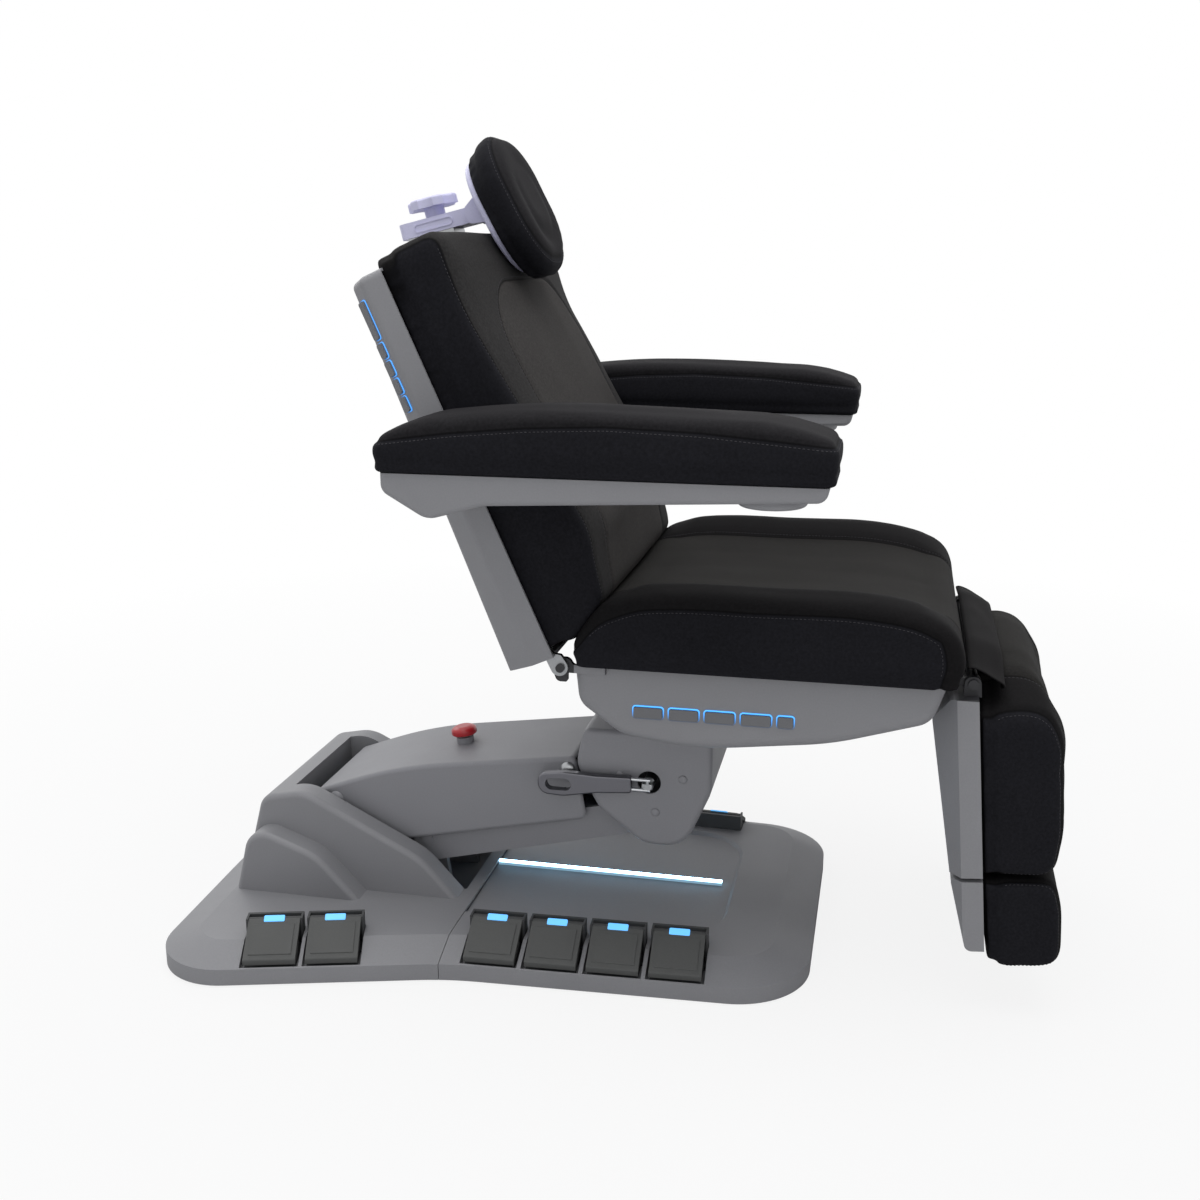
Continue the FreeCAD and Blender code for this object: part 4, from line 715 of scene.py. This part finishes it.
class TABLE_OT_stage(bpy.types.Operator):
    """Floor, white background, soft lights and the camera"""

    bl_idname = "table.stage"
    bl_label = "Stage"

    def execute(self, context):
        scene = context.scene
        scene.view_settings.view_transform = "Standard"
        self.floor()
        self.background(scene)
        lamps = (
            ("overhead", (0.1, -0.4, 3.2), (0, 0, 0.4), 2.6, 54),
            ("front", (0.6, -3.4, 1.3), (0, 0, 0.4), 2.4, 5),
            ("rear", (-2.4, 1.8, 2.2), (0, 0, 0.6), 1.6, 14),
        )
        for name, place, target, width, power in lamps:
            data = bpy.data.lights.new(name, "AREA")
            data.size = width
            data.energy = power
            self.aimed(name, data, place, target)
        data = bpy.data.cameras.new("view")
        data.lens = 40.35
        data.sensor_width = 36
        scene.camera = self.aimed("view", data, (0.329, -1.9675, 1.0228), (-0.1, 0, 0.502))
        return {"FINISHED"}

    def aimed(self, name, data, place, target):
        """A lamp or a camera that looks from a place at a target."""
        made = new_object(name, data)
        made.location = place
        made.rotation_euler = (Vector(target) - Vector(place)).to_track_quat("-Z", "Y").to_euler()
        return made

    def floor(self):
        """A wide floor that takes soft shadows and fades to white away from the table."""
        rim = 6.0
        corners = [(-rim, -rim, 0), (rim, -rim, 0), (rim, rim, 0), (-rim, rim, 0)]
        mesh = new_mesh("studio_floor", corners, [(0, 1, 2, 3)])
        material, tree, shader = new_material("studio floor")
        feed(tree, shader.inputs, {"Base Color": (0.75, 0.75, 0.75, 1), "Roughness": 0.9})
        looked_at = add(tree, "ShaderNodeLightPath").outputs["Is Camera Ray"]
        white = add(tree, "ShaderNodeEmission", {"Color": (1, 1, 1, 1), "Strength": 1.0}).outputs[0]
        away = add(tree, "ShaderNodeVectorMath", {0: own_place(tree)}, operation="LENGTH").outputs["Value"]
        share = math_node(tree, "MULTIPLY", looked_at, ramp(tree, away, 0.9, 2.6, 0.86))
        both = add(tree, "ShaderNodeMixShader", {0: share, 1: shader.outputs[0], 2: white}).outputs[0]
        tree.links.new(both, tree.nodes["Material Output"].inputs["Surface"])
        mesh.materials.append(material)
        new_object("studio_floor", mesh)

    def background(self, scene):
        """Soft light from all round that is itself seen as plain white."""
        world = bpy.data.worlds.new("studio")
        world.use_nodes = True
        scene.world = world
        tree = world.node_tree
        tree.nodes.clear()
        rays = add(tree, "ShaderNodeLightPath").outputs
        seen = math_node(tree, "MAXIMUM", rays["Is Camera Ray"], rays["Is Glossy Ray"])
        seen = math_node(tree, "MAXIMUM", seen, rays["Is Transmission Ray"])
        soft = add(tree, "ShaderNodeBackground", {"Color": (0.96, 0.97, 1, 1), "Strength": 0.52}).outputs[0]
        white = add(tree, "ShaderNodeBackground", {"Color": (1, 1, 1, 1), "Strength": 1.0}).outputs[0]
        both = add(tree, "ShaderNodeMixShader", {0: seen, 1: soft, 2: white}).outputs[0]
        add(tree, "ShaderNodeOutputWorld", {"Surface": both})


class TABLE_OT_finishes(bpy.types.Operator):
    """Moulded plastic, metal and light for the rigid parts"""

    bl_idname = "table.finishes"
    bl_label = "Rigid finishes"

    def execute(self, context):
        c = colours()
        covers = ("rear_base_cover", "front_base_cover", "seat_pan", "back_shell", "foot_shell")
        paint(moulded("shell", c.shell[:], 0.52), *covers, "arm_shell_left", "arm_shell_right")
        paint(moulded("lift shell", c.lift_shell[:], 0.5), "arm_cover", "lower_link", "head_cover")
        mount = ("headrest_plate", "headrest_bar", "headrest_knob")
        paint(moulded("pale shell", c.pale_shell[:], 0.42, mottle=0.08, depth=0.00008), *mount)
        inside = ("lift_arm", "head_frame", "lift_actuator", "seat_drives")
        paint(moulded("painted steel", c.steel[:], 0.5), *inside)
        # The base frame's pale grey is painted light in the shaded hollow inside the base
        paint(moulded("base frame lightened", c.base_frame_lightened[:], 0.55), "base_frame")
        paint(metal("plated steel", c.zinc[:], 0.32), "turntable", "back_frame", "lift_rod", "head_pins")
        paint(moulded("pin caps", c.lift_shell[:], 0.4, mottle=0.08, depth=0.00005), "rear_pins")
        paint(metal("bright steel", c.chrome[:], 0.16, mottle=0.1), "lever_fork")
        paint(metal("lever grip", c.grip[:], 0.3, mottle=0.1), "lever_grip")
        paint(moulded("pedal block", c.pedal_block[:], 0.6), "pedal_bases")
        pedals = ["pedal_%s_%d" % (side, k) for side in ("left", "right") for k in range(1, 7)]
        paint(moulded("pedal", c.pedal[:], 0.62, mottle=0.16, depth=0.0003), *pedals)
        keys = ["%s_key_%d" % (side, k) for side in ("seat", "back") for k in range(1, 6)]
        paint(moulded("key", c.key[:], 0.4, mottle=0.1), *keys)
        leg_lugs_z = 0.456
        paint(two_tone("leg shell", c.shell[:], c.steel[:], leg_lugs_z, 0.52), "leg_shell")
        pan_x, pan_half = 0.165, 0.243
        paint(two_tone("seat steel", c.shell[:], c.steel[:], pan_half, 0.5, middle=pan_x), "seat_frame")
        head_height = 0.017
        stop_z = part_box("stop_button")[1].z - head_height
        paint(two_tone("stop button", c.collar[:], c.stop[:], stop_z, 0.36, coat=0.3), "stop_button")
        bar_low, bar_high = 0.0462, 0.0489
        paint(lit("light bar", c.lamp[:], 15.0, (0, 0, 1), bar_low, bar_high), "light_bar")
        return {"FINISHED"}


class TABLE_OT_seat_upholstery(bpy.types.Operator):
    """Seat cushion with a middle panel between two padded sides"""

    bl_idname = "table.seat_upholstery"
    bl_label = "Seat upholstery"

    def execute(self, context):
        s = sizes()
        board_z = 0.490
        obj = padding("seat_cushion", "seat_upholstery", FLAT, board_z, reach=0.0035, cap=0.009)
        points = points_of(obj.data)
        x, y, z = points.T
        across = np.abs(y)
        middle = 1 - smooth_step(across, s.seat_panel - 0.012, s.seat_panel + 0.02)
        roll_width = s.seat_edge + 0.03 - s.seat_panel
        roll = np.sin(math.pi * np.clip((across - s.seat_panel) / roll_width, 0, 1))
        rear, front = smooth_step(x, -0.05, 0.02), smooth_step(x, 0.37, 0.435)
        ends = rear * (1 - front)
        z += (s.seat_roll * roll - s.seat_dish * middle) * ends * smooth_step(z, 0.52, 0.56)
        z += soft_waves(points, size=0.11, reach=0.0022) * smooth_step(z, 0.53, 0.57)
        x -= s.meet * (1 - smooth_step(x, -0.06, 0.0)) * smooth_step(z, 0.485, 0.50)
        move_points(obj.data, points)
        panel = s.seat_panel - across
        edge = np.maximum(s.seat_seam_drop - self.below_rim(points), s.seat_edge - across)
        sew(obj, panel, edge, seat_cloth())
        cushion(obj, "seat_cushion", "seat")

        def in_sight(p):
            return p[2] > 0.50 and p[0] > -0.05

        stitch_lines("seat_edge_stitching", obj, edge, "seat", in_sight)
        stitch_lines("seat_panel_stitching", obj, panel, "seat", in_sight)
        return {"FINISHED"}

    def below_rim(self, points):
        """How far each point lies inside the outline of the seat's side, from above and from the front."""
        side = points[np.abs(points[:, 1]) > sizes().seat_edge - 0.03]
        step = 0.006
        depths = []
        for place in (0, 2):
            along, outward = side[:, place], side[:, 2 - place]
            edges = np.arange(along.min(), along.max(), step)
            bins = np.clip(np.digitize(along, edges) - 1, 0, len(edges) - 1)
            rim = np.full(len(edges), outward.min())
            np.maximum.at(rim, bins, outward)
            rim = np.convolve(np.pad(rim, 2, mode="edge"), np.ones(5) / 5, mode="valid")
            depths.append(np.interp(points[:, place], edges + step / 2, rim) - points[:, 2 - place])
        return np.minimum(*depths)


class TABLE_OT_back_upholstery(bpy.types.Operator):
    """Back cushion with an arched panel inside its edge seams"""

    bl_idname = "table.back_upholstery"
    bl_label = "Back upholstery"

    def execute(self, context):
        s = sizes()
        c = colours()
        front, upward, hinge = BACK
        board = 0.012
        obj = padding("back_cushion", "back_upholstery", BACK, board, reach=0.011, cap=0.009)
        points = points_of(obj.data)
        ahead, up = measured(points, BACK)
        across = np.abs(points[:, 1])
        push(points, soft_waves(points, size=0.12, reach=0.0022) * smooth_step(ahead, 0.05, 0.08), front)
        lowest = (1 - smooth_step(up, 0.06, 0.13)) * smooth_step(ahead, board, 0.03)
        push(points, s.meet * lowest, 0.6 * front - 0.8 * upward)
        push(points, s.back_rise * smooth_step(up, 0.54, 0.60), upward)
        move_points(obj.data, points)
        side = across - (s.back_panel - s.back_panel_round)
        rise = up - (s.back_panel_top - s.back_panel_round)
        outside = np.hypot(np.maximum(side, 0), np.maximum(rise, 0)) + np.minimum(np.maximum(side, rise), 0)
        panel = np.where(ahead > 0.045, s.back_panel_round - outside, NO_PANEL)
        edge = s.back_edge + 0.014 * smooth_step(up, 0.30, 0.58) - across
        sew(obj, panel, edge, upholstery("back upholstery", c.back_band[:], c.back_panel[:]))
        cushion(obj, "back_cushion", "back")

        def in_sight(p):
            return (p - hinge) @ front > 0.05 and 0.05 < (p - hinge) @ upward < 0.565

        stitch_lines("back_edge_stitching", obj, edge, "back", in_sight, offset=0.4)
        stitch_lines("back_panel_stitching", obj, panel, "back", in_sight)
        return {"FINISHED"}


class TABLE_OT_headrest_upholstery(bpy.types.Operator):
    """Oval head cushion with a seam round its front"""

    bl_idname = "table.headrest_upholstery"
    bl_label = "Headrest upholstery"

    def execute(self, context):
        front, upward, _ = HEAD
        board, seam, sectors = 0.038, 0.077, 36
        obj = padding("headrest_cushion", "headrest_upholstery", HEAD, board, reach=0.003, cap=0.008)
        points = points_of(obj.data)
        ahead, up = measured(points, HEAD)
        level = up - (up.max() + up.min()) / 2
        bounds = np.linspace(-math.pi, math.pi, sectors + 1)
        sector = np.digitize(np.arctan2(level, points[:, 1]), bounds) - 1
        reach = np.hypot(points[:, 1], level)
        rim = np.zeros(sectors)
        np.maximum.at(rim, sector, reach)
        rim = (np.roll(rim, 1) + rim + np.roll(rim, -1))[sector] / 3
        run = np.maximum(reach - 0.5 * rim, 0)
        rise = np.maximum(ahead - 0.045, 0)
        square = sizes().head_square * diagonal(rise, run)
        outward = points[:, 1, None] * np.array([0, 1, 0]) + level[:, None] * upward
        push(points, square * run / np.maximum(reach, 1e-6), outward)
        push(points, square * rise, front)
        move_points(obj.data, points)
        edge = measured(points, HEAD)[0] - seam
        sew_edge(obj, edge, pad_cloth())
        cushion(obj, "headrest_cushion", "headrest")
        stitch_lines("headrest_stitching", obj, edge, "headrest")
        return {"FINISHED"}


class TABLE_OT_armrest_upholstery(bpy.types.Operator):
    """Two armrest pads, each with a stitched seam under its top"""

    bl_idname = "table.armrest_upholstery"
    bl_label = "Armrest upholstery"

    def execute(self, context):
        seam_x = (-0.289, -0.189, -0.098, -0.001, 0.112, 0.266)
        seam_z = (0.800, 0.813, 0.821, 0.825, 0.821, 0.808)
        board_z = 0.771
        obj = padding("arm_pad_right", "armrest_upholstery_right", FLAT, board_z, reach=0.0035, cap=0.008)
        other = new_object("armrest_upholstery_left", obj.data.copy())
        other.data.transform(Matrix.Scale(-1, 4, (0, 1, 0)))
        other.data.flip_normals()
        for made, side in ((obj, "right"), (other, "left")):
            points = points_of(made.data)
            edge = points[:, 2] - np.interp(points[:, 0], seam_x, seam_z)
            sew_edge(made, edge, pad_cloth())
            cushion(made, "arm_pad_" + side, "armrest_" + side)
            stitch_lines("armrest_stitching_" + side, made, edge, "armrest_" + side)
        return {"FINISHED"}


class TABLE_OT_leg_upholstery(bpy.types.Operator):
    """Leg and foot cushions with side seams and a middle panel"""

    bl_idname = "table.leg_upholstery"
    bl_label = "Leg upholstery"

    def execute(self, context):
        s = sizes()
        front, upward, hinge = LEG
        board = 0.017

        def in_sight(p):
            return (p - hinge) @ front > 0.03

        for part, body in (("leg", "legrest"), ("foot", "footrest")):
            node, name = part + "_cushion", part + "_upholstery"
            obj = padding(node, name, LEG, board, reach=0.0035, cap=0.009)
            points = points_of(obj.data)
            ahead, up = measured(points, LEG)
            across = np.abs(points[:, 1])
            if part == "foot":
                push(points, -s.foot_drop * (1 - smooth_step(up, -0.375, -0.30)), upward)
            else:
                run = np.maximum(ahead - 0.045, 0)
                rise = np.maximum(up + 0.13, 0)
                square = 0.17 * diagonal(rise, run) * smooth_step(across, 0.12, 0.20)
                push(points, run * square, front)
                push(points, rise * square, upward)
                waves = soft_waves(points, size=0.1, reach=0.002)
                push(points, waves * smooth_step(ahead, 0.05, 0.08), front)
            move_points(obj.data, points)
            panel, edge = s.leg_panel - across, s.leg_edge - across
            sew(obj, panel, edge, seat_cloth())
            cushion(obj, node, body)
            stitch_lines(name + "_edge_stitching", obj, edge, body, in_sight)
            stitch_lines(name + "_panel_stitching", obj, panel, body, in_sight)
        return {"FINISHED"}


class TABLE_OT_knee_flap(bpy.types.Operator):
    """Cloth flap from the seat's front edge over the top of the legrest"""

    bl_idname = "table.knee_flap"
    bl_label = "Knee flap"

    def execute(self, context):
        half, rows, thickness = 0.229, 24, 0.0022
        stations = np.linspace(-half, half, 61)
        middle = np.array([
            (0.4415, 0.505), (0.444, 0.5095), (0.451, 0.5105), (0.46, 0.5085), (0.472, 0.504),
            (0.484, 0.4985), (0.4895, 0.4945), (0.489, 0.491), (0.485, 0.4905),
        ])
        end = np.array([
            (0.4415, 0.496), (0.444, 0.4985), (0.451, 0.4975), (0.46, 0.494), (0.472, 0.487),
            (0.484, 0.48), (0.4895, 0.4755), (0.4885, 0.471), (0.484, 0.4705),
        ])
        corners, faces, lengths = [], [], []
        for y in stations:
            droop = smooth_step(abs(y), 0.12, half)
            line = middle + (end - middle) * droop
            run = run_along(line)
            lengths.append(run[-1])
            for row in range(rows + 1):
                share = row / rows
                x, z = on_line(run[-1] * share, run, line)
                wave = 0.0012 * noise.noise(Vector((y * 16, row * 0.12, 0))) * math.sin(math.pi * share)
                corners.append((x, y, z + wave))
        for column in range(len(stations) - 1):
            for row in range(rows):
                here = column * (rows + 1) + row
                faces.append((here, here + rows + 1, here + rows + 2, here + 1))
        mesh = new_mesh("knee_flap_sheet", corners, faces)
        mesh.materials.append(plain_cloth("flap cloth", colours().band[:]))
        obj = new_object("knee_flap_sheet", mesh)
        relax(mesh, 1.0, 3)
        body = obj.modifiers.new("thickness", "SOLIDIFY")
        body.thickness = thickness
        body.offset = 0
        obj.modifiers.new("finer", "SUBSURF").levels = 1
        mesh.shade_smooth()
        applied(obj)
        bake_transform(obj)
        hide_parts("knee_flap")
        return {"FINISHED"}


def ring_mesh(name, middle, axes, half, tall, reaches, thickness, rounding):
    """A rounded frame standing on a surface, between an inner and an outer reach from its outline."""
    right, up, out = axes
    inner, outer = reaches
    loop = rounded_loop(half - rounding, tall - rounding, 6)
    count = len(loop)
    corners, faces = [], []
    for grow, lift in ((inner, 0), (inner, thickness), (outer, thickness), (outer, 0)):
        reach = rounding + grow
        for a, b, cosine, sine in loop:
            corners.append(middle + right * (a + reach * cosine) + up * (b + reach * sine) + out * lift)
    for band in range(4):
        faces += band_faces(band * count, (band + 1) % 4 * count, count)
    return new_mesh(name, corners, faces, turn_out=True)


class TABLE_OT_bar_trim(bpy.types.Operator):
    """Raised oblong outlines on the sides of the headrest's bar"""

    bl_idname = "table.bar_trim"
    bl_label = "Bar trim"

    def execute(self, context):
        along, up, middle = lean_frame(13.4, -0.343, 1.062)
        half, tall, bar_side = 0.030, 0.0055, 0.0278
        for side, way in (("right", -1.0), ("left", 1.0)):
            out = np.array([0, way, 0])
            name = "headrest_bar_trim_" + side
            place, axes = middle + out * bar_side, (along, up, out)
            mesh = ring_mesh(
                name, place, axes, half, tall, reaches=(-0.0009, 0.0007), thickness=0.0014, rounding=tall
            )
            fitted(mesh, bpy.data.materials["pale shell"], "headrest_slider")
        return {"FINISHED"}


class TABLE_OT_key_lights(bpy.types.Operator):
    """Lit slots round the keys of the seat pan and of the back shell"""

    bl_idname = "table.key_lights"
    bl_label = "Key lights"

    def execute(self, context):
        self.seat_lights()
        self.back_lights()
        return {"FINISHED"}

    def seat_lights(self):
        glow_low, glow_high, pan_side = 0.4085, 0.4245, -0.2619
        glow = lit("seat key light", colours().glow[:], 2.2, (0, 0, 1), glow_low, glow_high)
        axes = np.array([(1.0, 0, 0), (0, 0, 1.0), (0, -1.0, 0)])
        for number in range(1, 6):
            low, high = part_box("seat_key_%d" % number)
            middle = np.array([(low.x + high.x) / 2, pan_side, (low.z + high.z) / 2])
            half, tall = (high.x - low.x) / 2, (high.z - low.z) / 2
            name = "seat_key_light_%d" % number
            mesh = ring_mesh(
                name, middle, axes, half, tall, reaches=(0.0004, 0.0018), thickness=0.0010, rounding=0.003
            )
            fitted(mesh, glow, "seat")

    def back_lights(self):
        front, upward, hinge = BACK
        glow_low, glow_high = hinge @ front - 0.052, hinge @ front - 0.036
        glow = lit("back key light", colours().glow[:], 1.8, front, glow_low, glow_high)
        corner_depth, corner_width, key_half, key_y = 0.032, 0.024, 0.0075, -0.274
        keys_up = 0.455
        run = self.shell_depth(keys_up) - corner_depth
        slant = math.hypot(run, corner_width)
        aside = np.array([0, -1, 0])
        out = (aside * run - front * corner_width) / slant
        axes = ((front * run + aside * corner_width) / slant, upward, out)
        for number in range(1, 6):
            level = (points_of(NODES["back_key_%d" % number].data) - hinge) @ upward
            height = (level.max() + level.min()) / 2
            tall = (level.max() - level.min()) / 2
            depth = (corner_depth + self.shell_depth(height)) / 2
            middle = hinge - front * depth + np.array([0, key_y, 0]) + upward * height
            name = "back_key_light_%d" % number
            mesh = ring_mesh(
                name, middle, axes, key_half, tall, reaches=(0.0004, 0.0015), thickness=0.0012, rounding=0.003
            )
            fitted(mesh, glow, "back")

    def shell_depth(self, up):
        """How deep the back shell is at a height above the hinge."""
        low, high, low_depth, high_depth = 0.018, 0.576, 0.076, 0.054
        return low_depth - (low_depth - high_depth) * (up - low) / (high - low)


class TABLE_OT_pedal_labels(bpy.types.Operator):
    """Lit label pads at the high end of the foot pedals"""

    bl_idname = "table.pedal_labels"
    bl_label = "Pedal lights"

    def execute(self, context):
        glow = lit("pedal label light", colours().label[:], 1.1)
        bend, border = Vector((-0.260, -0.306, 0)), 0.007
        # Rows of pedals: a place further along the base's edge, distance to the first pedal, pitch, count
        rows = (((0.252, -0.280, 0), 0.060, 0.090, 4), ((-0.690, -0.425, 0), 0.166, 0.089, 2))
        number = 0
        for end, first, pitch, count in rows:
            along = (Vector(end) - bend).normalized()
            inward = Vector((-along.y, along.x, 0)) * math.copysign(1, along.x)
            for k in range(count):
                number += 1
                edge = bend + along * (first + pitch * k) + inward * border
                for side, mirror in (("right", 1), ("left", -1)):
                    body = "pedal_%s_%d" % (side, number)
                    fitted(self.label(body + "_label", edge, inward, mirror), glow, body)
        return {"FINISHED"}

    def label(self, name, edge, inward, mirror):
        """A thin rounded pad on the slope of a pedal, which rises from low to high over its run."""
        low, high, pedal_run = 0.038, 0.078, 0.072
        label_run, half, tall, rounding = 0.0605, 0.0135, 0.0030, 0.0015
        sideways = Vector((inward.y, -inward.x, 0))
        loop = rounded_loop(half, tall, 4)
        rings = ((1, -0.0004), (1, 0.0007), (0.94, 0.0011))
        corners = []
        for shrink, lift in rings:
            for a, b, cosine, sine in loop:
                run = label_run + (b + rounding * sine) * shrink
                place = edge + sideways * ((a + rounding * cosine) * shrink) + inward * run
                corners.append((place.x, place.y * mirror, low + run * (high - low) / pedal_run + lift))
        return new_mesh(name, corners, tube_faces(0, len(rings), len(loop)), turn_out=True)


def dome(name, middle, out, radius, height):
    """A low domed cap on a surface."""
    across = out.orthogonal().normalized()
    beside = out.cross(across)
    rings = ((1.0, -0.3), (1.0, 0.25), (0.93, 0.55), (0.78, 0.78), (0.5, 0.95), (0.2, 1.0))
    count = 28
    corners = []
    for share, lift in rings:
        for k in range(count):
            angle = math.tau * k / count
            way = across * math.cos(angle) + beside * math.sin(angle)
            corners.append(middle + way * radius * share + out * height * lift)
    mesh = new_mesh(name, corners, tube_faces(0, len(rings), count))
    mesh.shade_smooth()
    return mesh


class TABLE_OT_screw_caps(bpy.types.Operator):
    """Round caps over the screws of the head's cover"""

    bl_idname = "table.screw_caps"
    bl_label = "Screw caps"

    def execute(self, context):
        s = sizes()
        finish = moulded("screw cap", colours().lift_shell[:], 0.45)
        cover_side = 0.114
        spots = ((0.010, 0.207), (0.051, 0.263), (-0.044, 0.262))
        for side, way in (("right", -1), ("left", 1)):
            for number, (x, z) in enumerate(spots, 1):
                middle, out = Vector((x, way * cover_side, z)), Vector((0, way, 0))
                mesh = dome("screw_cap_%s_%d" % (side, number), middle, out, s.cap_radius, s.cap_height)
                fitted(mesh, finish, "head")
        return {"FINISHED"}


OPERATORS = (
    TABLE_OT_stage,
    TABLE_OT_finishes,
    TABLE_OT_seat_upholstery,
    TABLE_OT_back_upholstery,
    TABLE_OT_headrest_upholstery,
    TABLE_OT_armrest_upholstery,
    TABLE_OT_leg_upholstery,
    TABLE_OT_knee_flap,
    TABLE_OT_bar_trim,
    TABLE_OT_key_lights,
    TABLE_OT_pedal_labels,
    TABLE_OT_screw_caps,
)


class TABLE_PT_panel(bpy.types.Panel):
    """The table's pieces, sizes and colours"""

    bl_idname = "TABLE_PT_panel"
    bl_label = "Procedure table"
    bl_space_type = "VIEW_3D"
    bl_region_type = "UI"
    bl_category = "Table"

    def draw(self, context):
        layout = self.layout
        for operator in OPERATORS:
            layout.operator(operator.bl_idname)
        for holder in (context.scene.table_sizes, context.scene.table_colours):
            column = layout.column()
            for name in holder.bl_rna.properties.keys():
                if name not in ("rna_type", "name"):
                    column.prop(holder, name)


CLASSES = (TableColours, TableSizes) + OPERATORS + (TABLE_PT_panel,)


def register():
    for made in CLASSES:
        bpy.utils.register_class(made)
    bpy.types.Scene.table_colours = bpy.props.PointerProperty(type=TableColours)
    bpy.types.Scene.table_sizes = bpy.props.PointerProperty(type=TableSizes)


def unregister():
    del bpy.types.Scene.table_colours
    del bpy.types.Scene.table_sizes
    for made in reversed(CLASSES):
        bpy.utils.unregister_class(made)


def main():
    register()
    for operator in OPERATORS:
        area, call = operator.bl_idname.split(".")
        getattr(getattr(bpy.ops, area), call)()


if __name__ == "__main__":
    main()
